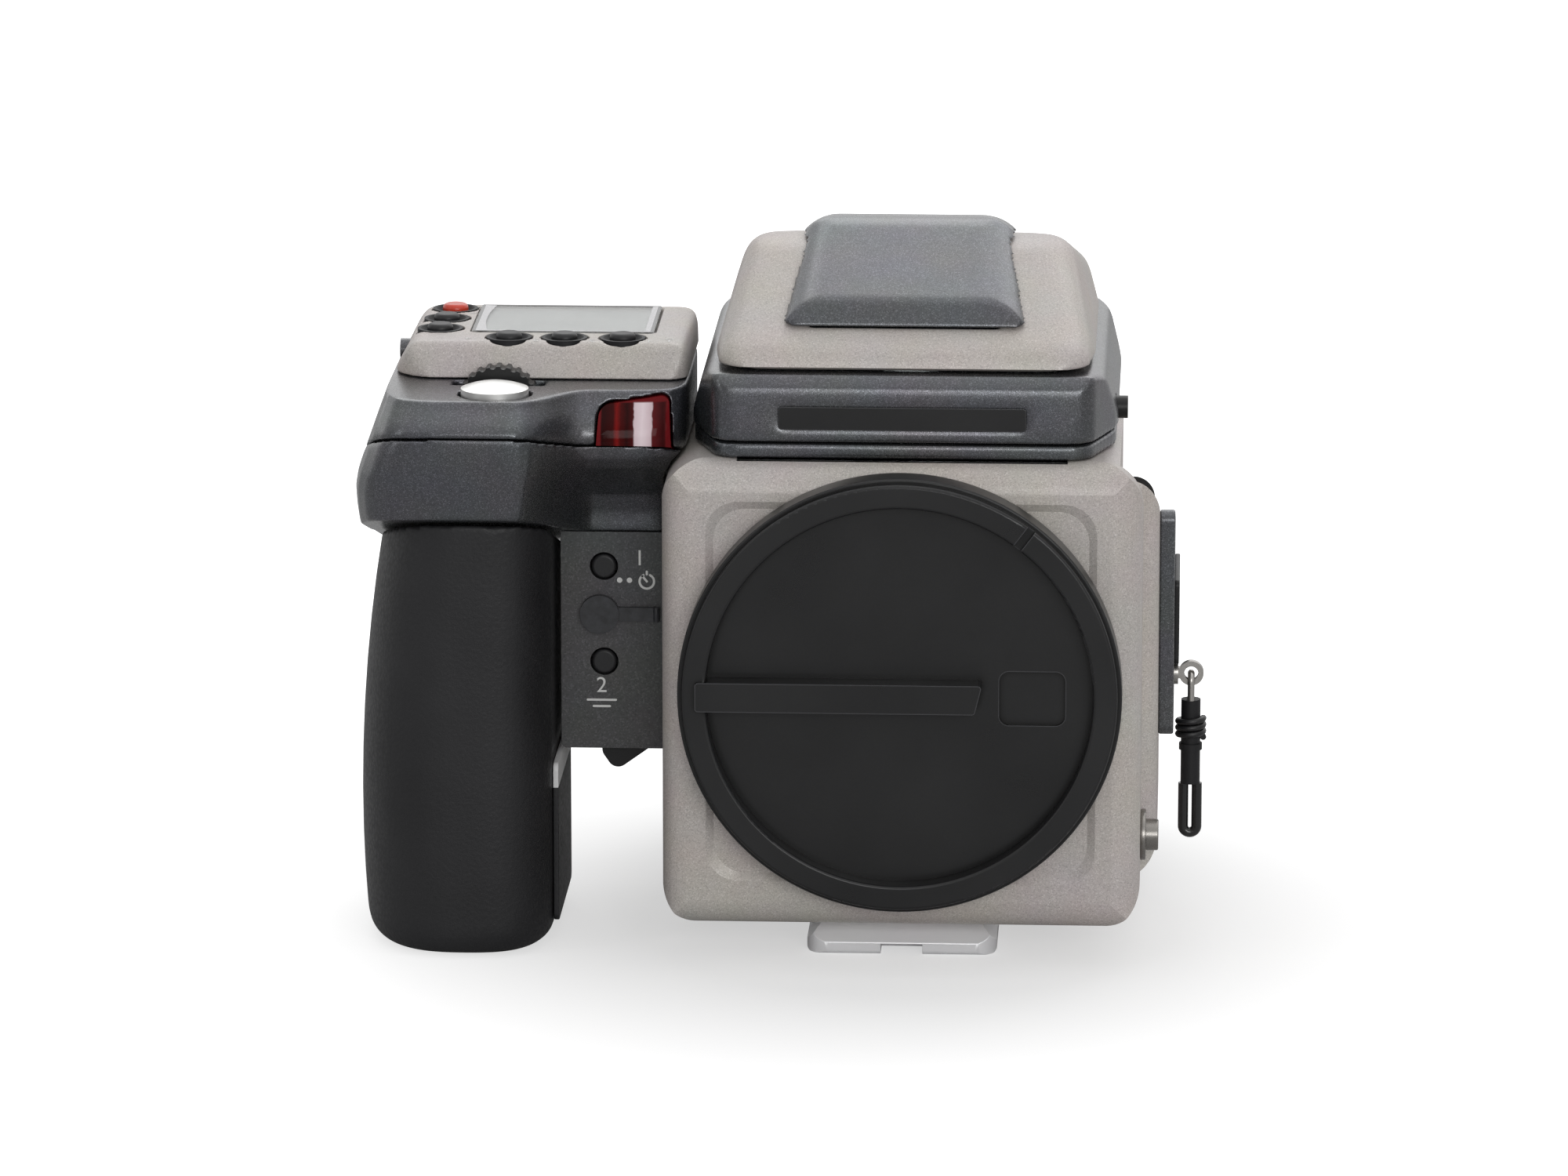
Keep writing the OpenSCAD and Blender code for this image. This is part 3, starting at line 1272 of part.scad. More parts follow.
// Digital back
module back_housing() {
    color("#1f2022")
    difference() {
        intersection() {
            along_z(back_low, back_high)
                outline(rect([-back_w / 2, film_y], [back_w / 2, back_y], [0, 0, 7, 7]));
            along_y(film_y - 1, back_y + 1)
                outline(even_rect([-back_w / 2 - 0.2, back_low - 0.2], [back_w / 2 + 0.2, back_high + 0.2], 4));
            along_x(-back_w, back_w)
                outline([[film_y - 1, back_low - 0.4, 0], [back_y - 6, back_low - 0.4, 0],
                    [back_y + 0.3, back_low + 4, 0], [back_y + 0.3, back_high - 3, 0],
                    [back_y - 4, back_high + 0.4, 0], [film_y - 1, back_high + 0.4, 0]]);
        }
        for (s = [0, 1]) mirror([s, 0, 0]) falling_side(back_w / 2 - back_shoulder, back_w / 2 + lift, 4, 0);
        block([-sensor_w / 2 - fit_gap, film_y - 1, axis_z - sensor_h / 2 - fit_gap],
            [sensor_w / 2 + fit_gap, film_y + sensor_t, axis_z + sensor_h / 2 + fit_gap]);
        screen_shape(fit_gap, back_y - rear_screen_t, back_y + 1);
        bar_y(pad_x, pad_z, pad_r + run_gap, back_y - pad_in - pad_travel - run_gap, back_y + 1);
        block([back_w / 2 - door_t - run_gap, door_y, door_low - run_gap],
            [back_w, door_y + door_l + run_gap, door_low + door_h + run_gap]);
        block([back_w / 2 - door_t / 2, door_y - door_t / 2 - run_gap, door_low - run_gap],
            [back_w, door_y + 1, door_low + door_h + run_gap]);
        bar_z(back_w / 2 - door_t / 2, door_y, door_t / 2 + run_gap, door_low - run_gap,
            door_low + door_h + run_gap);
        bar_z(back_w / 2 - door_t / 2, door_y, door_pin_r + shaft_gap, door_low - door_pin_l - run_gap,
            door_low + door_h + door_pin_l + run_gap);
    }
}
module screen_shape(grow, y0, y1) {
    along_y(y0, y1) translate([rear_screen_x, rear_screen_z])
        outline(even_rect([-screen_w / 2 - grow, -screen_h / 2 - grow],
            [screen_w / 2 + grow, screen_h / 2 + grow], 1.5));
}
module back_screen() {
    color("#2d3338") screen_shape(0, back_y - rear_screen_t, back_y - 0.2);
}
module back_pad() {
    color("#303133")
    translate([pad_x, back_y - pad_in, pad_z]) rotate([-90, 0, 0]) rotate_extrude()
        outline([[0, 0, 0], [pad_r, 0, 0], [pad_r, pad_in + pad_out, 0.8], [3, pad_in + pad_out - 0.3, 0],
            [0, pad_in + pad_out - 0.6, 0]]);
}
module card_door() {
    color("#26272a")
    union() {
        block([back_w / 2 - door_t, door_y, door_low], [back_w / 2, door_y + door_l, door_low + door_h]);
        bar_z(back_w / 2 - door_t / 2, door_y, door_t / 2, door_low, door_low + door_h);
        bar_z(back_w / 2 - door_t / 2, door_y, door_pin_r, door_low - door_pin_l,
            door_low + door_h + door_pin_l);
    }
}
module sensor() {
    color("#3d4a44")
    block([-sensor_w / 2, film_y, axis_z - sensor_h / 2],
        [sensor_w / 2, film_y + sensor_t, axis_z + sensor_h / 2]);
}

body_frame();
lens_mount();
reflex_mirror();
focusing_screen();
tripod_foot();
foot_screws();
side_plate();
side_strip();
strap_stud();
strap_ring();
strap_sleeve();
strap_binding();
strap_hook();
release_collar();
lens_release();
body_cap();
finder_rail();
finder_base();
finder_roof();
prism();
flash_cover();
flash_head();
badge_plate();
finder_release();
hot_shoe();
eyepiece_lens();
eyecup();
diopter_dial();
shoulder_upper();
shoulder_lower();
af_window();
af_reflector();
front_wheel();
rear_wheel();
shutter_button();
grip_top_cover();
display_window();
display_panel();
button_seals();
power_button();
profile_button();
menu_button();
iso_button();
focus_button();
flash_button();
grip_strap_stud();
grip_bridge();
front_panel();
mirror_up_button();
stop_down_button();
port_cover();
battery_lever();
battery_grip();
grip_strip();
back_housing();
back_screen();
back_pad();
card_door();
sensor();
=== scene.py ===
import json
import math
from contextlib import contextmanager

import bpy
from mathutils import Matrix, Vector
from mathutils.bvhtree import BVHTree


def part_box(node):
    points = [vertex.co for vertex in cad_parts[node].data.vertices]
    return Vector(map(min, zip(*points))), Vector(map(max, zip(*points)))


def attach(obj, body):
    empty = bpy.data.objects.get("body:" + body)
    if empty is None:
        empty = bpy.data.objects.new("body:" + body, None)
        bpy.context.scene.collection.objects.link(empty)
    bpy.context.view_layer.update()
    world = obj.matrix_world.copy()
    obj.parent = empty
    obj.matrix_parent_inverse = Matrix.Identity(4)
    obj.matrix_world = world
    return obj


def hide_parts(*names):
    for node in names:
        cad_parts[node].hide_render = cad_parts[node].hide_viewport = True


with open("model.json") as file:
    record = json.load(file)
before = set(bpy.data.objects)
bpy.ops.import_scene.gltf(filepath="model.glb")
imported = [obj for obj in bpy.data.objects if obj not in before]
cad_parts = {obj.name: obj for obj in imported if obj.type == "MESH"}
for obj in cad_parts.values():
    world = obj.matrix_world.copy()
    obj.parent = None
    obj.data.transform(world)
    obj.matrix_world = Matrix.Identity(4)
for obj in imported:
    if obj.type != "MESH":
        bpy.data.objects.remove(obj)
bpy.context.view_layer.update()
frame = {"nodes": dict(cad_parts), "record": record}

nodes = frame["nodes"]
behaviour = frame["record"]["behaviour"]
body_name = {node: body for body, members in behaviour["bodies"].items() for node in members}
scene = bpy.context.scene
scene.view_settings.view_transform = "Standard"
MM = 0.001


# Colour and material helpers

# Socket numbers of a Mix node that mixes colours
FACTOR = 0
COLOUR_A = 6
COLOUR_B = 7
MIXED = 2


def linear(code):
    """A hex sRGB colour as linear numbers, with an alpha of 1."""
    parts = [int(code[i:i + 2], 16) / 255 for i in (1, 3, 5)]
    return tuple(c / 12.92 if c <= 0.04045 else ((c + 0.055) / 1.055) ** 2.4 for c in parts) + (1.0,)


def add(tree, kind, settings=None, links=None):
    """One shader node: settings go to its properties, colour stops or sockets, and links to its inputs."""
    node = tree.nodes.new("ShaderNode" + kind)
    for key, value in (settings or {}).items():
        if key == "stops":
            bar = node.color_ramp.elements
            bar.remove(bar[1])
            bar[0].position = value[0][0]
            bar[0].color = linear(value[0][1])
            for at, code in value[1:]:
                bar.new(at).color = linear(code)
        elif isinstance(key, str) and hasattr(node, key):
            setattr(node, key, value)
        else:
            node.inputs[key].default_value = value
    for key, source in (links or {}).items():
        tree.links.new(source, node.inputs[key])
    return node


def start_material(name):
    """An empty material, its tree and the piece's own coordinates."""
    material = bpy.data.materials.new(name)
    material.use_nodes = True
    tree = material.node_tree
    tree.nodes.clear()
    return material, tree, add(tree, "TexCoord").outputs["Object"]


def per_mm(size):
    """Texture scale for a pattern whose grains are this many millimetres wide."""
    return 1 / (size * MM)


def edge_turn(tree, samples, radius, flat, sharp):
    """0 on a flat and 1 on an edge: how far a normal rounded over this radius turns from the face's own."""
    rounded = add(tree, "Bevel", {"samples": samples, "Radius": radius * MM})
    face = add(tree, "NewGeometry")
    turned = add(tree, "VectorMath", {"operation": "DOT_PRODUCT"},
                 {0: rounded.outputs[0], 1: face.outputs["Normal"]})
    edge = add(tree, "MapRange", {"From Min": flat, "From Max": sharp}, {"Value": turned.outputs["Value"]})
    return edge.outputs[0]


def flake_lacquer(name, dark, mid, light, worn, rough, metal, grit):
    """Sprayed metallic lacquer on a cast shell: a satin sheen broken by bright flakes, rubbed paler at edges.
    Real flakes are finer, and are drawn this coarse so that they show."""
    material, tree, place = start_material(name)
    flakes = add(tree, "TexVoronoi", {"feature": "F1", "Scale": per_mm(grit)}, {"Vector": place})
    sparkle = add(tree, "SeparateColor", None, {"Color": flakes.outputs["Color"]})
    colour = add(tree, "ValToRGB", {"stops": [(0.0, dark), (0.3, mid), (0.75, mid), (1.0, light)]},
                 {"Fac": sparkle.outputs["Red"]})
    cloud = add(tree, "TexNoise", {"Scale": per_mm(14), "Detail": 3.0}, {"Vector": place})
    tone = add(tree, "Mix", {"data_type": "RGBA", "blend_type": "SOFT_LIGHT", FACTOR: 0.15},
               {COLOUR_A: colour.outputs["Color"], COLOUR_B: cloud.outputs["Color"]})
    edge = edge_turn(tree, samples=4, radius=0.45, flat=0.97, sharp=0.8)
    chips = add(tree, "TexNoise", {"Scale": per_mm(1.6), "Detail": 4.0, "Roughness": 0.65}, {"Vector": place})
    bare = add(tree, "MapRange", {"From Min": 0.58, "From Max": 0.66, "To Max": 0.7},
               {"Value": chips.outputs["Fac"]})
    wear_and_highlight_edge = add(tree, "Math", {"operation": "MULTIPLY"}, {0: edge, 1: bare.outputs[0]})
    shown = add(tree, "Mix", {"data_type": "RGBA", COLOUR_B: linear(worn)},
                {FACTOR: wear_and_highlight_edge.outputs[0], COLOUR_A: tone.outputs[MIXED]})
    rough_map = add(tree, "MapRange", {"To Min": rough - 0.08, "To Max": rough + 0.08},
                    {"Value": sparkle.outputs["Green"]})
    relief = add(tree, "Bump", {"Strength": 0.08, "Distance": 0.04 * MM},
                 {"Height": flakes.outputs["Distance"]})
    shader = add(tree, "BsdfPrincipled",
                 {"Metallic": metal, "Coat Weight": 0.1 + 0.28 * metal, "Coat Roughness": 0.24},
                 {"Base Color": shown.outputs[MIXED], "Roughness": rough_map.outputs[0],
                  "Normal": relief.outputs[0]})
    add(tree, "OutputMaterial", None, {"Surface": shader.outputs[0]})
    return material


def moulded(name, dark, light, rough, grain, bump, coat=0.0, shine=0.5, edge=None):
    """Moulded plastic or rubber: an even colour with the tool's spark-eroded grain in it, drawn coarse enough
    to show, and, where asked, a painted highlight on outward edges and painted shade in creases."""
    material, tree, place = start_material(name)
    fine = add(tree, "TexNoise", {"Scale": per_mm(grain), "Detail": 4.0, "Roughness": 0.6}, {"Vector": place})
    wide = add(tree, "TexNoise", {"Scale": per_mm(22), "Detail": 3.0}, {"Vector": place})
    part = add(tree, "Math", {"operation": "MULTIPLY", 1: 0.55}, {0: fine.outputs["Fac"]})
    total = add(tree, "Math", {"operation": "MULTIPLY_ADD", 1: 0.45},
                {0: wide.outputs["Fac"], 2: part.outputs[0]})
    base = add(tree, "ValToRGB", {"stops": [(0.3, dark), (0.7, light)]}, {"Fac": total.outputs[0]})
    colour = base.outputs["Color"]
    if edge:
        # Painted highlight: outward edges, found by a rounded normal and open air, take the paler edge colour
        near = edge_turn(tree, samples=6, radius=0.4, flat=0.985, sharp=0.9)
        air = add(tree, "AmbientOcclusion", {"samples": 8, "Distance": 1.4 * MM})
        outward = add(tree, "MapRange", {"From Min": 0.72, "From Max": 0.92}, {"Value": air.outputs["AO"]})
        wear_and_highlight_edge = add(tree, "Math", {"operation": "MULTIPLY"}, {0: near, 1: outward.outputs[0]})
        pale = add(tree, "Mix", {"data_type": "RGBA", COLOUR_B: linear(edge)},
                   {FACTOR: wear_and_highlight_edge.outputs[0], COLOUR_A: colour})
        # Painted shade: creases, found by ambient occlusion, are darkened towards near black
        crease_shade = add(tree, "Mix", {"data_type": "RGBA", COLOUR_A: linear("#050505")},
                      {FACTOR: outward.outputs[0], COLOUR_B: pale.outputs[MIXED]})
        colour = crease_shade.outputs[MIXED]
    rough_map = add(tree, "MapRange",
                    {"From Min": 0.3, "From Max": 0.7, "To Min": rough - 0.07, "To Max": rough + 0.07},
                    {"Value": wide.outputs["Fac"]})
    relief = add(tree, "Bump", {"Strength": bump, "Distance": 0.08 * MM}, {"Height": fine.outputs["Fac"]})
    shader = add(tree, "BsdfPrincipled",
                 {"IOR": 1.5, "Coat Weight": coat, "Coat Roughness": 0.2, "Specular IOR Level": shine},
                 {"Base Color": colour, "Roughness": rough_map.outputs[0], "Normal": relief.outputs[0]})
    add(tree, "OutputMaterial", None, {"Surface": shader.outputs[0]})
    return material


def pebbled_rubber(name, dark, light):
    """Rubber armour with a leather grain: soft pebbles under a millimetre wide that show in grazing light."""
    material, tree, place = start_material(name)
    warp = add(tree, "TexNoise", {"Scale": per_mm(2.0), "Detail": 2.0}, {"Vector": place})
    bent = add(tree, "VectorMath", {"operation": "MULTIPLY_ADD", 1: (0.7 * MM, 0.7 * MM, 0.7 * MM)},
               {0: warp.outputs["Color"], 2: place})
    pebbles = add(tree, "TexVoronoi", {"feature": "SMOOTH_F1", "Scale": per_mm(0.8), "Smoothness": 0.4},
                  {"Vector": bent.outputs[0]})
    pores = add(tree, "TexNoise", {"Scale": per_mm(0.3), "Detail": 3.0}, {"Vector": place})
    wide = add(tree, "TexNoise", {"Scale": per_mm(26), "Detail": 2.0}, {"Vector": place})
    height = add(tree, "Math", {"operation": "MULTIPLY_ADD", 1: -1.0},
                 {0: pebbles.outputs["Distance"], 2: pores.outputs["Fac"]})
    colour = add(tree, "ValToRGB", {"stops": [(0.35, dark), (0.65, light)]}, {"Fac": wide.outputs["Fac"]})
    rough_map = add(tree, "MapRange", {"From Max": 0.8, "To Min": 0.4, "To Max": 0.58},
                    {"Value": pebbles.outputs["Distance"]})
    relief = add(tree, "Bump", {"Strength": 0.28, "Distance": 0.12 * MM}, {"Height": height.outputs[0]})
    shader = add(tree, "BsdfPrincipled", {"IOR": 1.5, "Specular IOR Level": 0.4},
                 {"Base Color": colour.outputs["Color"], "Roughness": rough_map.outputs[0],
                  "Normal": relief.outputs[0]})
    add(tree, "OutputMaterial", None, {"Surface": shader.outputs[0]})
    return material


def worked_metal(name, code, rough, spacing, stretch=(1, 1, 1), bump=0.12, metal=1.0):
    """Bare metal with tool marks, drawn out along one axis where asked: a soft streak in each highlight."""
    material, tree, place = start_material(name)
    drawn = add(tree, "Mapping", {"Scale": stretch}, {"Vector": place})
    marks = add(tree, "TexNoise", {"Scale": per_mm(spacing), "Detail": 3.0}, {"Vector": drawn.outputs[0]})
    rough_map = add(tree, "MapRange",
                    {"From Min": 0.3, "From Max": 0.7, "To Min": rough - 0.08, "To Max": rough + 0.1},
                    {"Value": marks.outputs["Fac"]})
    relief = add(tree, "Bump", {"Strength": bump, "Distance": 0.02 * MM}, {"Height": marks.outputs["Fac"]})
    shader = add(tree, "BsdfPrincipled", {"Base Color": linear(code), "Metallic": metal},
                 {"Roughness": rough_map.outputs[0], "Normal": relief.outputs[0]})
    add(tree, "OutputMaterial", None, {"Surface": shader.outputs[0]})
    return material


def clear_pane(name, code, rough, smear):
    """Polished glass or clear plastic: the eye sees through it, with a faint handling smear in its gloss."""
    material, tree, place = start_material(name)
    haze = add(tree, "TexNoise", {"Scale": per_mm(9), "Detail": 4.0}, {"Vector": place})
    rough_map = add(tree, "MapRange",
                    {"From Min": 0.4, "From Max": 0.8, "To Min": rough, "To Max": rough + smear},
                    {"Value": haze.outputs["Fac"]})
    shader = add(tree, "BsdfPrincipled",
                 {"Base Color": linear(code), "Transmission Weight": 1.0, "IOR": 1.46},
                 {"Roughness": rough_map.outputs[0]})
    add(tree, "OutputMaterial", None, {"Surface": shader.outputs[0]})
    return material


def ruby_lens(name, low, high):
    """Ruby acrylic over a faceted reflector, in a box from low to high, drawn opaque: painted shade near
    black in its depth, a painted red glint, one pale upright band as a painted reflection, and a red moulded
    rim at its ends and top."""
    material, tree, place = start_material(name)
    axes = add(tree, "SeparateXYZ", None, {"Vector": place})
    drawn = add(tree, "Mapping", {"Scale": (1, 1, 0.08)}, {"Vector": place})
    ribs = add(tree, "TexNoise", {"Scale": per_mm(1.1), "Detail": 2.0}, {"Vector": drawn.outputs[0]})
    across = add(tree, "MapRange", {"From Min": low[0], "From Max": high[0]}, {"Value": axes.outputs["X"]})
    wobble = add(tree, "Math", {"operation": "MULTIPLY_ADD", 1: 0.05, 2: -0.025}, {0: ribs.outputs["Fac"]})
    along = add(tree, "Math", {"operation": "ADD"}, {0: wobble.outputs[0], 1: across.outputs[0]})
    # Painted light: the near-black stops are painted shade, the bright red stop a painted glint, the pale
    # band a painted reflection
    painted_light_facets = add(tree, "ValToRGB", {"stops": [
        (0.0, "#5a1214"), (0.1, "#2a0808"), (0.24, "#3c0b0b"), (0.29, "#7c1513"), (0.34, "#4a0c0c"),
        (0.42, "#2c0808"), (0.5, "#4a1012"), (0.515, "#ddc8ce"), (0.62, "#ecdbe0"), (0.74, "#d6bfc5"),
        (0.755, "#5e1a1e"), (0.88, "#3a0c0e"), (1.0, "#5a1416")]}, {"Fac": along.outputs[0]})
    ends = add(tree, "Math", {"operation": "PINGPONG", 1: 0.5}, {0: across.outputs[0]})
    drop = add(tree, "MapRange", {"From Min": low[2], "From Max": high[2], "To Min": 1.0, "To Max": 0.0},
               {"Value": axes.outputs["Z"]})
    inside = add(tree, "Math", {"operation": "MINIMUM"}, {0: ends.outputs[0], 1: drop.outputs[0]})
    rim = add(tree, "MapRange", {"From Min": 0.07, "From Max": 0.09, "To Min": 1.0, "To Max": 0.0},
              {"Value": inside.outputs[0]})
    colour = add(tree, "Mix", {"data_type": "RGBA", COLOUR_B: linear("#6e191d")},
                 {FACTOR: rim.outputs[0], COLOUR_A: painted_light_facets.outputs["Color"]})
    rough_map = add(tree, "MapRange", {"To Min": 0.05, "To Max": 0.12}, {"Value": ribs.outputs["Fac"]})
    shader = add(tree, "BsdfPrincipled", {"IOR": 1.49, "Specular IOR Level": 0.08},
                 {"Base Color": colour.outputs[MIXED], "Roughness": rough_map.outputs[0]})
    add(tree, "OutputMaterial", None, {"Surface": shader.outputs[0]})
    return material


# Lacquers on the cast shells

# Warm silver: matt and pale, with fine flakes
champagne = flake_lacquer("champagne flake lacquer", dark="#a9a29e", mid="#c1bab5", light="#d6d0cc",
                          worn="#e2ded9", rough=0.45, metal=0.1, grit=0.17)
# Dark grey with a metallic sheen: bright streaks on the shoulders
graphite = flake_lacquer("graphite flake lacquer", dark="#47484b", mid="#57585b", light="#77787d",
                         worn="#b9b9ba", rough=0.3, metal=0.8, grit=0.15)
# Dull dark grey with a coarse tooth
panel_paint = flake_lacquer("charcoal wrinkle lacquer", dark="#3c3c3d", mid="#484849", light="#5d5d5f",
                            worn="#8a8a8a", rough=0.5, metal=0.1, grit=0.25)

# Plastics and rubbers

# Black with a soft gloss, a painted highlight on its raised edges and painted shade in its creases
cap_plastic = moulded("cap ABS plastic", "#19191a", "#1f1f20", rough=0.33, grain=0.3, bump=0.06, shine=0.4,
                      edge="#4c4c4f")
# Even satin black
black_plastic = moulded("black polycarbonate", "#191919", "#212122", rough=0.4, grain=0.25, bump=0.08,
                        shine=0.35)
# Dull black that catches a soft light on each crown
key_rubber = moulded("black key rubber", "#1e1e1f", "#28282a", rough=0.45, grain=0.2, bump=0.06, shine=0.4)
# Matt black with hardly a highlight
soft_rubber = moulded("soft black rubber", "#18181a", "#222224", rough=0.55, grain=0.3, bump=0.12, shine=0.3)
# Clear red under a light polish
red_plastic = moulded("red key plastic", "#d23a24", "#de4c34", rough=0.32, grain=0.3, bump=0.03, coat=0.2)
# Pale and matt
grey_plastic = moulded("grey moulded plastic", "#dadada", "#e6e6e6", rough=0.5, grain=0.3, bump=0.06)
# Near black with sharp reflections
gloss_black = moulded("black gloss plastic", "#0f0f10", "#151516", rough=0.16, grain=0.4, bump=0.02, coat=0.3)
# Black, blotched grey where hands rub it
scuffed_rubber = moulded("scuffed port rubber", "#1b1b1d", "#434448", rough=0.36, grain=1.6, bump=0.05)
# Black with a fine broken gloss
cord_rubber = moulded("braided cord jacket", "#131314", "#1d1d1f", rough=0.38, grain=0.15, bump=0.25,
                      shine=0.45)
# Flat white marks
white_ink = moulded("pad printed white ink", "#dcdcda", "#e9e9e7", rough=0.5, grain=0.1, bump=0.02)
# Black leather grain
armour = pebbled_rubber("grip armour rubber", "#1c1c1e", "#262628")

# Metals

# Bright rings of turning marks
steel = worked_metal("turned stainless steel", "#b4b1ad", rough=0.3, spacing=0.15, stretch=(1, 1, 8))
# Grey and even, softly reflecting
satin_chrome = worked_metal("satin chromed brass", "#8f8c88", rough=0.3, spacing=0.2, bump=0.05)
# Pale and finely matt
shutter_metal = worked_metal("bead blasted aluminium", "#e0e0de", rough=0.36, spacing=0.12, bump=0.1,
                             metal=0.85)
# Near white, with milling marks from side to side
foot_metal = worked_metal("milled aluminium", "#fbfbfd", rough=0.36, spacing=0.12, stretch=(1, 8, 8),
                          bump=0.1, metal=0.3)
# A clear reflection with no tint
mirror_silver = worked_metal("front silvered mirror", "#f0f2f3", rough=0.1, spacing=0.5, bump=0.0)

# Optics and displays

# Clear, with sharp reflections
glass = clear_pane("optical glass", "#f4f8f7", rough=0.02, smear=0.02)
# Clear, with a slight haze of handling
display_glass = clear_pane("display window acrylic", "#eef1f0", rough=0.08, smear=0.06)
# Deep red with painted shade in its depth, a painted glint and one painted pale reflection
ruby = ruby_lens("ruby window acrylic", *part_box("af_window"))
# Even grey, as a display that is off
display_grey = moulded("display liquid crystal", "#8f918f", "#9c9e9c", rough=0.35, grain=0.3, bump=0.0)
# Dark green under a hard gloss
sensor_green = moulded("sensor cover filter", "#35443c", "#40514a", rough=0.12, grain=0.4, bump=0.0, coat=0.6)
# A grey metallic gloss
silver_plastic = worked_metal("vacuum silvered plastic", "#b9b8ba", rough=0.22, spacing=0.4, bump=0.03)

finish = {
    champagne: "body_frame finder_roof grip_top_cover",
    graphite: "side_plate finder_rail finder_base flash_cover shoulder_upper shoulder_lower grip_strap_stud",
    panel_paint: "front_panel grip_bridge",
    cap_plastic: "body_cap badge_plate",
    black_plastic: "side_strip finder_release diopter_dial front_wheel rear_wheel battery_lever back_housing "
                   "card_door",
    key_rubber: "profile_button menu_button iso_button focus_button flash_button mirror_up_button "
                "stop_down_button back_pad",
    soft_rubber: "strap_sleeve strap_binding eyecup button_seals",
    scuffed_rubber: "port_cover",
    red_plastic: "power_button",
    grey_plastic: "grip_strip flash_head",
    gloss_black: "strap_hook back_screen",
    armour: "battery_grip",
    steel: "lens_mount foot_screws strap_stud strap_ring hot_shoe",
    satin_chrome: "lens_release release_collar",
    shutter_metal: "shutter_button",
    foot_metal: "tripod_foot",
    mirror_silver: "reflex_mirror",
    glass: "focusing_screen prism eyepiece_lens",
    display_glass: "display_window",
    ruby: "af_window",
    display_grey: "display_panel",
    sensor_green: "sensor",
    silver_plastic: "af_reflector",
}
for material, names in finish.items():
    for name in names.split():
        nodes[name].data.materials.clear()
        nodes[name].data.materials.append(material)


# Modelling helpers

def take(ob):
    """Makes ob the only selected object."""
    bpy.ops.object.select_all(action="DESELECT")
    ob.select_set(True)
    bpy.context.view_layer.objects.active = ob


@contextmanager
def editing(ob):
    """Edit mode on ob alone, for as long as the with block lasts."""
    take(ob)
    bpy.ops.object.mode_set(mode="EDIT")
    yield
    bpy.ops.object.mode_set(mode="OBJECT")


def pick(ob, test):
    """Selects the points of ob whose place passes a test, and nothing else."""
    with editing(ob):
        bpy.ops.mesh.select_mode(type="VERT")
        bpy.ops.mesh.select_all(action="DESELECT")
    for v in ob.data.vertices:
        v.select = test(v.co)


def modify(ob, kind, **settings):
    """Adds a modifier to ob and applies it."""
    take(ob)
    mod = ob.modifiers.new(kind.lower(), kind)
    for key, value in settings.items():
        setattr(mod, key, value)
    bpy.ops.object.modifier_apply(modifier=mod.name)


def smooth(ob, angle):
    """Shades ob smooth, except across edges that turn by more than so many degrees."""
    take(ob)
    bpy.ops.object.shade_smooth_by_angle(angle=math.radians(angle))


def break_edges(ob, width, sharp=30, shade=30):
    """Breaks edges of ob that are sharper than so many degrees with a small round, and evens its shading."""
    if width:
        modify(ob, "BEVEL", width=width * MM, segments=2, limit_method="ANGLE",
               angle_limit=math.radians(sharp), use_clamp_overlap=True, harden_normals=False)
    smooth(ob, shade)
    modify(ob, "WEIGHTED_NORMAL", mode="FACE_AREA", keep_sharp=True)


def skin(node):
    """A copy of a CAD node's mesh as one closed skin, to shape a piece over it."""
    weld = 0.002 * MM
    flat = math.radians(0.3)
    source = nodes[node]
    ob = source.copy()
    ob.data = source.data.copy()
    ob.parent = None
    ob.name = node + "_dressed"
    scene.collection.objects.link(ob)
    take(ob)
    if ob.data.has_custom_normals:
        bpy.ops.mesh.customdata_custom_splitnormals_clear()
    with editing(ob):
        bpy.ops.mesh.select_all(action="SELECT")
        bpy.ops.mesh.remove_doubles(threshold=weld)
        bpy.ops.mesh.dissolve_limited(angle_limit=flat, delimit={"NORMAL"})
    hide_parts(node)
    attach(ob, body_name[node])
    return ob


def dressed(node, edge):
    """A piece shaped over a CAD node: the same form with its sharp edges broken by a small round."""
    ob = skin(node)
    break_edges(ob, edge)
    return ob


def share(value, start, end):
    """0 at start, 1 at end, straight between."""
    return min(1.0, max(0.0, (value - start) / (end - start)))


def cut_back(ob, key):
    """Draws the well round a key back from just above the key's foot down, so that the key can be pressed."""
    above, below, around, cut = 0.4 * MM, 2.2 * MM, 0.42 * MM, 0.4 * MM
    low, high = map(Vector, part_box(key))
    press = next(Vector(j["axis"]) for j in behaviour["joints"] if j["child"] == body_name[key])
    foot = sum(abs(a) * b for a, b in zip(press, (high - low) / 2))
    radius = max(high - low) / 2
    deep = ob.vertex_groups.new(name="deep")
    for v in ob.data.vertices:
        away = v.co - (low + high) / 2
        depth = away.dot(press)
        if -above < depth - foot < below and (away - press * depth).length < radius + around:
            deep.add([v.index], 1.0, "REPLACE")
    modify(ob, "DISPLACE", strength=-cut, mid_level=0.0, vertex_group="deep")


def eased(node, grain, passes, where, well=None):
    """A moulded form over a CAD node: reskinned evenly, its edges eased where asked, drawn in a little, which
    opens its joints, and cut back round a key pressed into it. where weighs a point given in millimetres."""
    drawn_in = 0.12 * MM
    ob = skin(node)
    modify(ob, "REMESH", mode="VOXEL", voxel_size=grain * MM)
    soft = ob.vertex_groups.new(name="soft")
    for v in ob.data.vertices:
        weight = where(v.co / MM)
        if weight > 0:
            soft.add([v.index], weight, "REPLACE")
    modify(ob, "SMOOTH", factor=0.5, iterations=passes, vertex_group="soft")
    modify(ob, "DISPLACE", strength=-drawn_in, mid_level=0.0)
    if well:
        cut_back(ob, well)
    take(ob)
    bpy.ops.object.shade_smooth()
    return ob


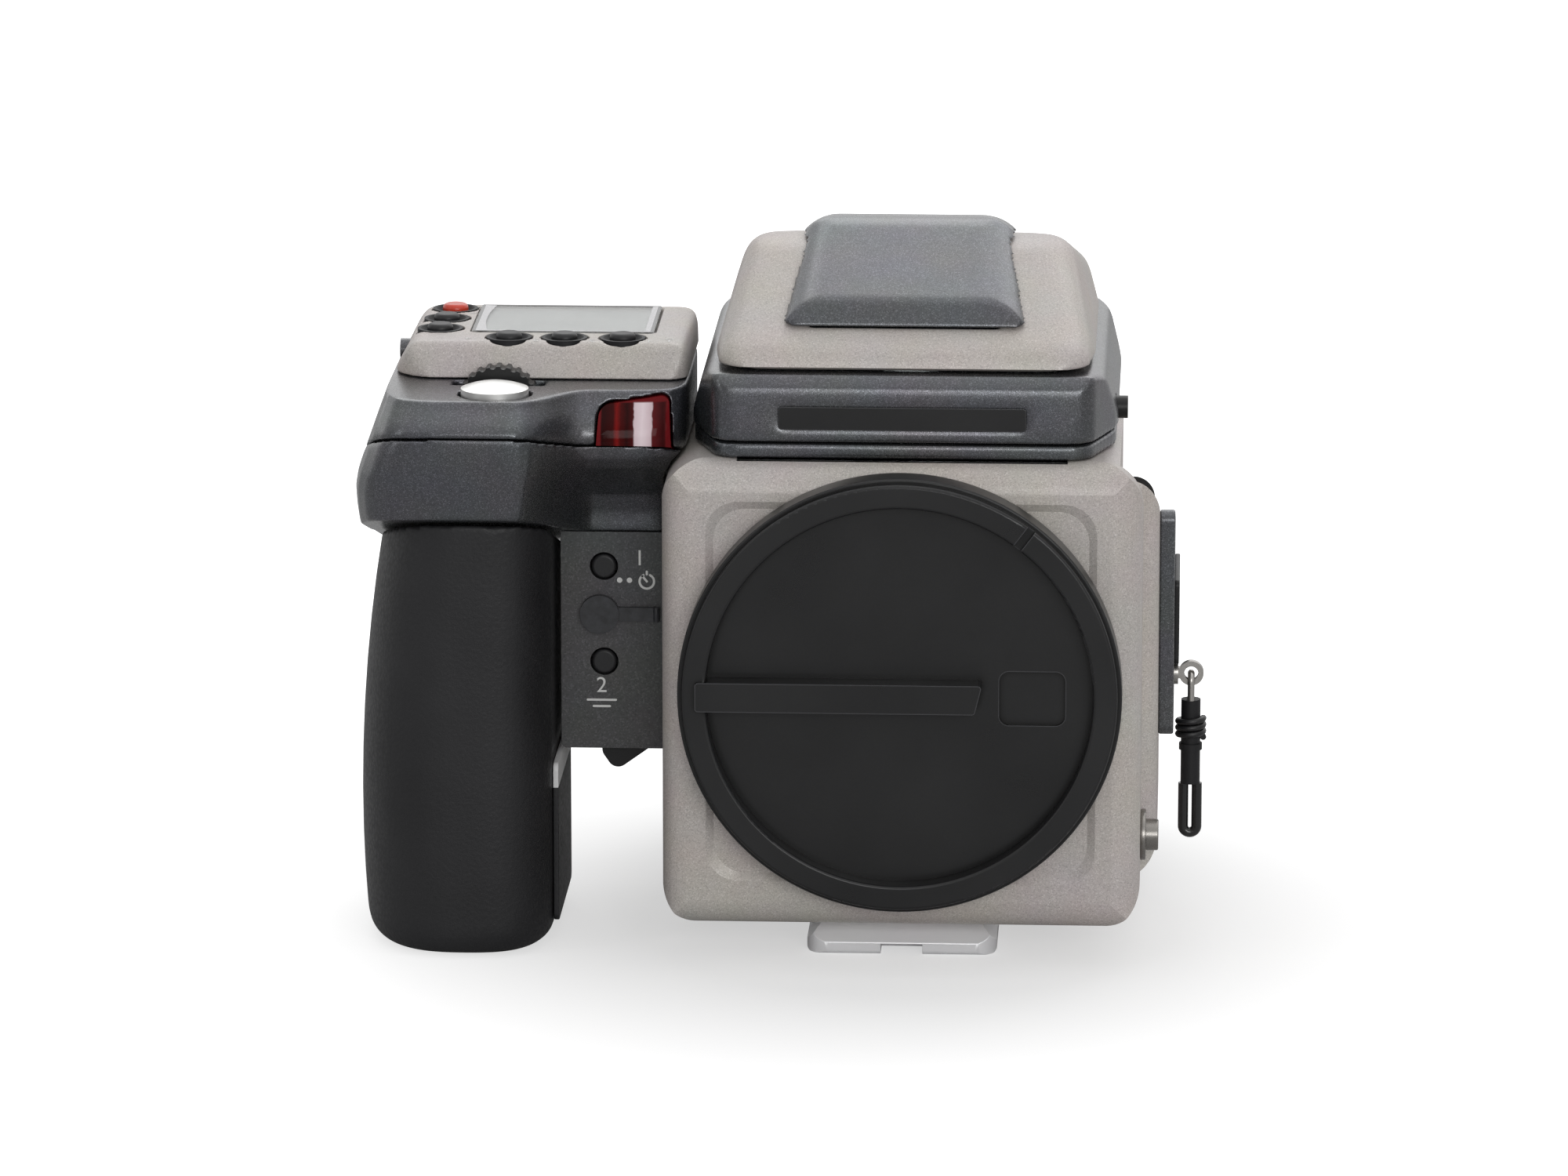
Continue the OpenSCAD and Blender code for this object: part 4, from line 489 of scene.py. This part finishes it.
def everywhere(point):
    """Eases a form all over."""
    return 1.0


def clear_of(node):
    """Weights that leave the well of a moving piece as it is and ease the form from there on."""
    start, full = 0.8, 2.4
    low, high = [v / MM for v in map(Vector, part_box(node))]

    def weight(point):
        return share(max(max(a - c, c - b) for c, a, b in zip(point, low, high)), start, full)
    return weight


# Forms with broken edges, each with the width of its round in millimetres
broken_edges = {
    "body_cap": 0.35, "front_panel": 0.15, "grip_bridge": 0.3, "tripod_foot": 0.2, "side_plate": 0.4,
    "side_strip": 0.2, "release_collar": 0.2, "lens_release": 0.3, "front_wheel": 0.12, "rear_wheel": 0.12,
    "battery_lever": 0.3, "back_housing": 0.4, "card_door": 0.25, "port_cover": 0.25, "hot_shoe": 0.15,
    "badge_plate": 0.12, "mirror_up_button": 0.4, "stop_down_button": 0.4, "af_window": 0,
}
for name, edge in broken_edges.items():
    dressed(name, edge)


# Shutter button: drawn in a little, so that it runs free in its well
shutter_clearance = 0.15 * MM
modify(dressed("shutter_button", 0), "DISPLACE", strength=-shutter_clearance, mid_level=0.0)


# Grip keys: low domes that stand less than a millimetre out of their seals
crown_depth = 1.0 * MM
crown_drop = 0.9 * MM
for name in "power_button profile_button menu_button iso_button focus_button flash_button".split():
    key = skin(name)
    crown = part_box(name)[1][2] - crown_depth
    pick(key, lambda place: place.z > crown)
    with editing(key):
        bpy.ops.transform.translate(value=(0, 0, -crown_drop))
    break_edges(key, 0, shade=50)


# Grip strip: pale grey plastic at its top end, dark grained rubber below
pale_end_length = 4.5 * MM
strip = skin("grip_strip")
strip_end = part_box("grip_strip")[1][2] - pale_end_length
with editing(strip):
    bpy.ops.mesh.select_all(action="SELECT")
    bpy.ops.mesh.bisect(plane_co=(0, 0, strip_end), plane_no=(0, 0, 1))
strip.data.materials.append(armour)
for f in strip.data.polygons:
    f.material_index = 1 if f.center.z < strip_end else 0
break_edges(strip, 0.2)


# Body casting: the recess round the mount runs out in a soft ramp

recess_width = 71 * MM
recess_depth = 0.4 * MM
recess_middle = Vector((0, 0, 51.5 * MM))
recess_sunk = 0.3 * MM
ramp_inside = 33.3 * MM
ramp_scale = 0.96
level_slack = 0.02 * MM
width_slack = 0.1 * MM
body_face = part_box("body_frame")[0][1]


def off_middle(place):
    """How far a point is from the middle of the recess, across or up."""
    away = place - recess_middle
    return max(abs(away.x), abs(away.z))


def on_recess(place):
    """Whether a point is on the floor of the recess."""
    level = abs(place.y - body_face - recess_depth) < level_slack
    return level and off_middle(place) < recess_width / 2 + width_slack


body = skin("body_frame")
pick(body, on_recess)
with editing(body):
    bpy.ops.transform.translate(value=(0, recess_sunk, 0))
for v in body.data.vertices:
    v.select = v.select and off_middle(v.co) > ramp_inside
with editing(body):
    bpy.ops.transform.resize(value=(ramp_scale, 1, ramp_scale), center_override=recess_middle)
break_edges(body, 0.3, sharp=13)


# Moulded shells: soft shoulders on the roof, lid, grip foot and grip cover, a small round on the rest

roof_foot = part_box("finder_roof")[0][2] / MM
roof_mesh = nodes["finder_roof"].data
roof_skin = BVHTree.FromPolygons([v.co for v in roof_mesh.vertices],
                                 [tuple(f.vertices) for f in roof_mesh.polygons])
cover_low, cover_high = [[c / MM for c in corner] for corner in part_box("grip_top_cover")]

# Where the easing of each form starts and where it is full, in millimetres
roof_side = (21, 24)
roof_brow = (18, 20)
roof_rise = (roof_foot + 1.5, roof_foot + 4)
lid_rise = (0.15, 1.8)
grip_drop = (16, 8)
cover_edge = (4.4, 2.8)
cover_rise = (cover_low[2] + 0.5, cover_low[2] + 2)


def roof_shoulders(point):
    """The roof's sides and brow, clear of its foot."""
    side_or_brow = max(share(abs(point.x), *roof_side), share(-point.y, *roof_brow))
    return side_or_brow * share(point.z, *roof_rise)


def lid_off_roof(point):
    """The flash lid, clear of the line where it meets the roof."""
    distance = roof_skin.find_nearest(point * MM)[3]
    return share(distance / MM, *lid_rise)


def grip_foot(point):
    """The foot of the battery grip, and the rest of it a little."""
    least = 0.08
    return max(least, share(point.z, *grip_drop))


def cover_rim(point):
    """The rim of the grip cover, clear of its lower edge."""
    inward = min(point.x - cover_low[0], cover_high[0] - point.x,
                 point.y - cover_low[1], cover_high[1] - point.y)
    return share(inward, *cover_edge) * share(point.z, *cover_rise)


eased("finder_roof", grain=0.6, passes=90, where=roof_shoulders)
eased("flash_cover", grain=0.5, passes=18, where=lid_off_roof)
eased("finder_base", grain=0.6, passes=10, where=clear_of("finder_release"), well="finder_release")
eased("finder_rail", grain=0.6, passes=4, where=everywhere)
eased("shoulder_upper", grain=0.5, passes=8, where=clear_of("shutter_button"), well="shutter_button")
eased("shoulder_lower", grain=0.5, passes=8, where=everywhere)
eased("battery_grip", grain=0.7, passes=50, where=grip_foot)
grip_cover = eased("grip_top_cover", grain=0.4, passes=50, where=cover_rim)


# Cord wound on the strap sleeve

def wound_cord():
    """Three touching turns with closed ends, just inside the solid's width."""
    cord, turns, pitch, spare = 0.6 * MM, 3, 1.22 * MM, 0.03 * MM
    low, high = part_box("strap_binding")
    ring = (high[0] - low[0]) / 2 - cord - spare
    bpy.ops.object.select_all(action="DESELECT")
    bpy.ops.mesh.primitive_circle_add(vertices=12, radius=cord, rotation=(math.pi / 2, 0, 0))
    ob = bpy.context.object
    ob.name = "strap_cord_turns"
    bpy.ops.object.transform_apply(rotation=True)
    with editing(ob):
        bpy.ops.transform.translate(value=(ring, 0, 0))
    modify(ob, "SCREW", axis="Z", angle=2 * math.pi, iterations=turns, screw_offset=pitch, steps=30,
           render_steps=30, use_merge_vertices=False)
    with editing(ob):
        bpy.ops.mesh.select_all(action="SELECT")
        bpy.ops.mesh.fill_holes(sides=0)
        bpy.ops.mesh.select_all(action="SELECT")
        bpy.ops.mesh.normals_make_consistent(inside=False)
    ob.location = ((low[0] + high[0]) / 2, (low[1] + high[1]) / 2, low[2] + cord)
    bpy.ops.object.transform_apply(location=True)
    smooth(ob, 50)
    ob.data.materials.append(cord_rubber)
    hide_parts("strap_binding")
    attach(ob, body_name["strap_binding"])


wound_cord()


# Frame printed on the display window, its far band black as painted shade

def display_frame():
    """A thin frame, black outside and silver inside, its far band black as painted shade, wider at its ends
    and bowed at the left one.
    """
    margin, line, band = 0.15 * MM, 0.55 * MM, 0.5 * MM
    left_end, right_end, bow = 1.6 * MM, 0.5 * MM, 0.9 * MM
    hair, thickness = 0.01 * MM, 0.04 * MM
    low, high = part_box("display_window")
    size = (high[0] - low[0] - 2 * margin, high[1] - low[1] - 2 * margin)
    bpy.ops.object.select_all(action="DESELECT")
    bpy.ops.mesh.primitive_plane_add(size=1)
    ob = bpy.context.object
    ob.name = "display_frame"
    ob.scale = (size[0], size[1], 1)
    bpy.ops.object.transform_apply(scale=True)
    with editing(ob):
        bpy.ops.mesh.inset(thickness=line)
        bpy.ops.mesh.inset(thickness=band)
        bpy.ops.mesh.delete(type="FACE")
        bpy.ops.mesh.select_all(action="DESELECT")
    inside_line = [size[0] / 2 - line - hair, size[1] / 2 - line - hair]
    inner = [v for v in ob.data.vertices if abs(v.co.x) < inside_line[0] and abs(v.co.y) < inside_line[1]]
    for v in inner:
        v.co.x += left_end if v.co.x < 0 else -right_end
    for e in ob.data.edges:
        ends = [ob.data.vertices[i] for i in e.vertices]
        e.select = all(v in inner and v.co.x < 0 for v in ends)
    with editing(ob):
        bpy.ops.mesh.select_mode(type="EDGE")
        bpy.ops.mesh.subdivide(number_cuts=9)
    half = size[1] / 2 - line - band
    for v in ob.data.vertices:
        if -inside_line[0] < v.co.x < 0 and abs(v.co.y) < half - hair:
            v.co.x -= bow * (1 - (v.co.y / half) ** 2)
    ob.data.materials.append(silver_plastic)
    ob.data.materials.append(gloss_black)
    for f in ob.data.polygons:
        corners = [ob.data.vertices[i].co for i in f.vertices]
        border = any(max(abs(c.x) - inside_line[0], abs(c.y) - inside_line[1]) > 10 * hair for c in corners)
        # Painted shade: the far band is black, where the recess wall shades the display
        f.material_index = 1 if border or f.center.y > half else 0
    modify(ob, "SOLIDIFY", thickness=thickness, offset=1)
    ob.location = ((low[0] + high[0]) / 2, (low[1] + high[1]) / 2, high[2] + hair)
    take(ob)
    bpy.ops.object.transform_apply(location=True)
    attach(ob, body_name["display_window"])


display_frame()


# Printed marks: plain numbers, dots, rings and bars in white ink, in millimetres

def ink_number(digit, height):
    """One plain digit, flat, its middle at the origin."""
    height_in_font = 0.7
    bpy.ops.object.select_all(action="DESELECT")
    bpy.ops.object.text_add()
    ob = bpy.context.object
    ob.data.body = digit
    ob.data.size = height * MM / height_in_font
    ob.data.align_x = "CENTER"
    ob.data.align_y = "CENTER"
    bpy.ops.object.convert(target="MESH")
    return bpy.context.object


def ink_ring(radius, width, gap=0):
    """A flat ring, with an opening of so many degrees at its top, or a dot where the width is its radius."""
    bpy.ops.object.select_all(action="DESELECT")
    bpy.ops.mesh.primitive_circle_add(vertices=36, radius=radius * MM, fill_type="NGON")
    ob = bpy.context.object
    if width < radius:
        with editing(ob):
            bpy.ops.mesh.inset(thickness=width * MM)
            bpy.ops.mesh.delete(type="FACE")
        for f in ob.data.polygons:
            f.select = abs(math.degrees(math.atan2(f.center.x, f.center.y))) < gap / 2
        with editing(ob):
            bpy.ops.mesh.select_mode(type="FACE")
            bpy.ops.mesh.delete(type="FACE")
    return ob


def ink_bar(length, width, turn=0):
    """A flat bar with round ends, turned so many degrees."""
    end_round = 0.45
    bpy.ops.object.select_all(action="DESELECT")
    bpy.ops.mesh.primitive_plane_add(size=1, rotation=(0, 0, math.radians(turn)))
    ob = bpy.context.object
    ob.scale = (length * MM, width * MM, 1)
    bpy.ops.object.transform_apply(rotation=True, scale=True)
    with editing(ob):
        bpy.ops.mesh.bevel(offset=end_round * width * MM, segments=3, affect="VERTICES")
    return ob


def beside(start, offset):
    """A place so many millimetres from a start that is given in metres, to the micrometre."""
    return round(start + offset * MM, 6)


def printed(name, node, marks, wrapped_on=None):
    """Marks on the front of a node or, reading from the rear, wrapped on the top of the piece over it. Each
    is a shape, the key beside it, and its place: right of that key's edge, and up from its middle or, on a
    top, to the rear of it."""
    off_face, start_above, off_wrap, thickness = 0.02 * MM, 2 * MM, 0.03 * MM, 0.02 * MM
    low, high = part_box(node)
    for shape, key, right, up in marks:
        key_low, key_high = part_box(key)
        x = beside(key_high[0], right)
        if wrapped_on:
            shape.rotation_euler = (0, 0, math.pi)
            shape.location = (x, beside((key_low[1] + key_high[1]) / 2, up), high[2] + start_above)
        else:
            shape.rotation_euler = (math.pi / 2, 0, 0)
            shape.location = (x, low[1] - off_face, beside((key_low[2] + key_high[2]) / 2, up))
    take(marks[0][0])
    for mark in marks:
        mark[0].select_set(True)
    bpy.ops.object.transform_apply(location=True, rotation=True, scale=True)
    bpy.ops.object.join()
    ob = bpy.context.object
    ob.name = name
    if wrapped_on:
        modify(ob, "SUBSURF", subdivision_type="SIMPLE", levels=1, render_levels=1)
        modify(ob, "SHRINKWRAP", target=wrapped_on, wrap_method="PROJECT", use_project_z=True,
               use_negative_direction=True, use_positive_direction=False, offset=off_wrap)
    modify(ob, "SOLIDIFY", thickness=thickness, offset=1)
    ob.data.materials.clear()
    ob.data.materials.append(white_ink)
    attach(ob, body_name[node])


printed("panel_marks", "front_panel", [
    (ink_number("1", height=2.9), "mirror_up_button", 4.3, 1.5),
    (ink_ring(0.5, 0.5), "mirror_up_button", 0.6, -2.6),
    (ink_ring(0.5, 0.5), "mirror_up_button", 2.4, -2.6),
    (ink_ring(1.55, 0.42, gap=50), "mirror_up_button", 5.6, -2.8),
    (ink_bar(1.7, 0.42, turn=130), "mirror_up_button", 5.2, -2.3),
    (ink_bar(0.9, 0.42, turn=90), "mirror_up_button", 5.6, -1.2),
    (ink_number("2", height=2.9), "stop_down_button", -2.8, -4.6),
    (ink_bar(5.6, 0.42), "stop_down_button", -2.8, -7.3),
    (ink_bar(3.4, 0.42), "stop_down_button", -2.8, -8.5),
])
printed("cover_marks", "grip_top_cover", [
    (ink_number("1", height=1.7), "flash_button", 2.6, -2.65),
    (ink_number("2", height=1.7), "focus_button", 2.9, -2.65),
    (ink_number("3", height=1.7), "iso_button", 2.7, -2.65),
    (ink_number("4", height=1.7), "menu_button", 3.55, -9.4),
    (ink_ring(0.75, 0.25), "flash_button", 6.3, -0.95),
    (ink_bar(1.7, 0.3, turn=90), "flash_button", 6.3, -2.45),
    (ink_bar(1.6, 0.3), "power_button", 1.35, -4.7),
], wrapped_on=grip_cover)


# Stage: floor, room, lamps and camera, in metres

def studio_floor():
    """Paper that keeps the object's shadow, lifted to white further out where the eye sees it: its glow is
    weaker near the object, a painted shadow round it.
    """
    bpy.ops.object.select_all(action="DESELECT")
    bpy.ops.mesh.primitive_plane_add(size=9, location=(0, 0, 0))
    floor = bpy.context.object
    floor.name = "floor"
    material, tree, place = start_material("white studio paper")
    plain = add(tree, "BsdfDiffuse", {"Color": linear("#d2d2d2")})
    pale = add(tree, "BsdfDiffuse", {"Color": linear("#bcbcbc")})
    reach = add(tree, "VectorMath", {"operation": "LENGTH"}, {0: place})
    # Painted shadow: the glow falls off towards the object, darkening the floor round it
    lift = add(tree, "MapRange", {"From Min": 0.05, "From Max": 0.2, "To Min": 0.52, "To Max": 1.15},
               {"Value": reach.outputs["Value"]})
    glow = add(tree, "Emission", {"Color": (1, 1, 1, 1)}, {"Strength": lift.outputs[0]})
    lifted = add(tree, "AddShader", None, {0: glow.outputs[0], 1: pale.outputs[0]})
    path = add(tree, "LightPath")
    seen = add(tree, "Math", {"operation": "MAXIMUM"},
               {0: path.outputs["Is Camera Ray"], 1: path.outputs["Is Transmission Ray"]})
    mix = add(tree, "MixShader", None, {0: seen.outputs[0], 1: plain.outputs[0], 2: lifted.outputs[0]})
    add(tree, "OutputMaterial", None, {"Surface": mix.outputs[0]})
    floor.data.materials.append(material)


def studio_room():
    """White where the camera looks, in gloss and glass a room that is dimmer low down towards the camera, and
    for the rest a soft fill that is stronger from above and from the right."""
    world = bpy.data.worlds.new("studio")
    scene.world = world
    world.use_nodes = True
    tree = world.node_tree
    tree.nodes.clear()
    path = add(tree, "LightPath")
    way = add(tree, "SeparateXYZ", None, {"Vector": add(tree, "TexCoord").outputs["Generated"]})
    rise = add(tree, "MapRange", {"From Max": 0.9, "To Min": 0.4, "To Max": 0.53},
               {"Value": way.outputs["Z"]})
    sides = add(tree, "MapRange", {"From Min": -0.9, "From Max": 0.2, "To Min": 0.6, "To Max": 1.0},
                {"Value": way.outputs["X"]})
    level = add(tree, "Math", {"operation": "MULTIPLY"}, {0: rise.outputs[0], 1: sides.outputs[0]})
    fill = add(tree, "Background", {"Color": (1, 1, 1, 1)}, {"Strength": level.outputs[0]})
    rear = add(tree, "MapRange", {"From Min": -0.2, "From Max": 0.6, "To Min": 0.42, "To Max": 1.0},
               {"Value": way.outputs["Y"]})
    above = add(tree, "MapRange", {"From Min": 0.35, "From Max": 0.8, "To Min": 0.42, "To Max": 1.0},
                {"Value": way.outputs["Z"]})
    room = add(tree, "Math", {"operation": "MAXIMUM"}, {0: rear.outputs[0], 1: above.outputs[0]})
    shown = add(tree, "Math", {"operation": "MAXIMUM"},
                {0: room.outputs[0], 1: path.outputs["Is Camera Ray"]})
    backdrop = add(tree, "Background", {"Color": (1, 1, 1, 1)}, {"Strength": shown.outputs[0]})
    looked_at = add(tree, "Math", {"operation": "MAXIMUM"},
                    {0: path.outputs["Is Camera Ray"], 1: path.outputs["Is Glossy Ray"]})
    seen = add(tree, "Math", {"operation": "MAXIMUM"},
               {0: looked_at.outputs[0], 1: path.outputs["Is Transmission Ray"]})
    mix = add(tree, "MixShader", None, {0: seen.outputs[0], 1: fill.outputs[0], 2: backdrop.outputs[0]})
    add(tree, "OutputWorld", None, {"Surface": mix.outputs[0]})


def softbox(name, place, aim, size, power):
    """An oblong soft light at a place, facing a point."""
    lamp = bpy.data.lights.new(name, "AREA")
    lamp.shape = "RECTANGLE"
    lamp.size = size[0]
    lamp.size_y = size[1]
    lamp.energy = power
    ob = bpy.data.objects.new(name, lamp)
    scene.collection.objects.link(ob)
    ob.location = place
    ob.rotation_euler = (Vector(aim) - Vector(place)).to_track_quat("-Z", "Y").to_euler()


def photo_camera():
    """A long lens a little above the camera's front, as in the photograph."""
    azimuth, elevation, distance = math.radians(2.8), math.radians(13.0), 1.6
    target = Vector((-22.7, 0, 63.9)) * MM
    view_width, sensor_width = 0.29, 36
    lens = bpy.data.cameras.new("camera")
    camera = bpy.data.objects.new("camera", lens)
    scene.collection.objects.link(camera)
    scene.camera = camera
    level = math.cos(elevation)
    away = Vector((math.sin(azimuth) * level, -math.cos(azimuth) * level, math.sin(elevation)))
    camera.location = target + away * distance
    camera.rotation_euler = (-away).to_track_quat("-Z", "Y").to_euler()
    lens.sensor_width = sensor_width
    lens.lens = sensor_width * distance / view_width
    lens.clip_end = 20


studio_floor()
studio_room()
softbox("overhead", place=(0.12, 0.1, 1.1), aim=(0, 0, 0.05), size=(1.0, 0.8), power=1.0)
softbox("high back", place=(0.1, 1.0, 1.0), aim=(0, 0, 0.1), size=(1.5, 0.8), power=4.5)
softbox("left side", place=(-1.2, -0.7, 0.55), aim=(0, 0, 0.06), size=(0.2, 0.9), power=1.0)
softbox("right side", place=(1.2, -0.7, 0.7), aim=(0, 0, 0.06), size=(0.25, 0.9), power=0.45)
softbox("front fill", place=(0.45, -1.7, 0.55), aim=(0, 0, 0.05), size=(1.2, 0.6), power=9.6)
photo_camera()
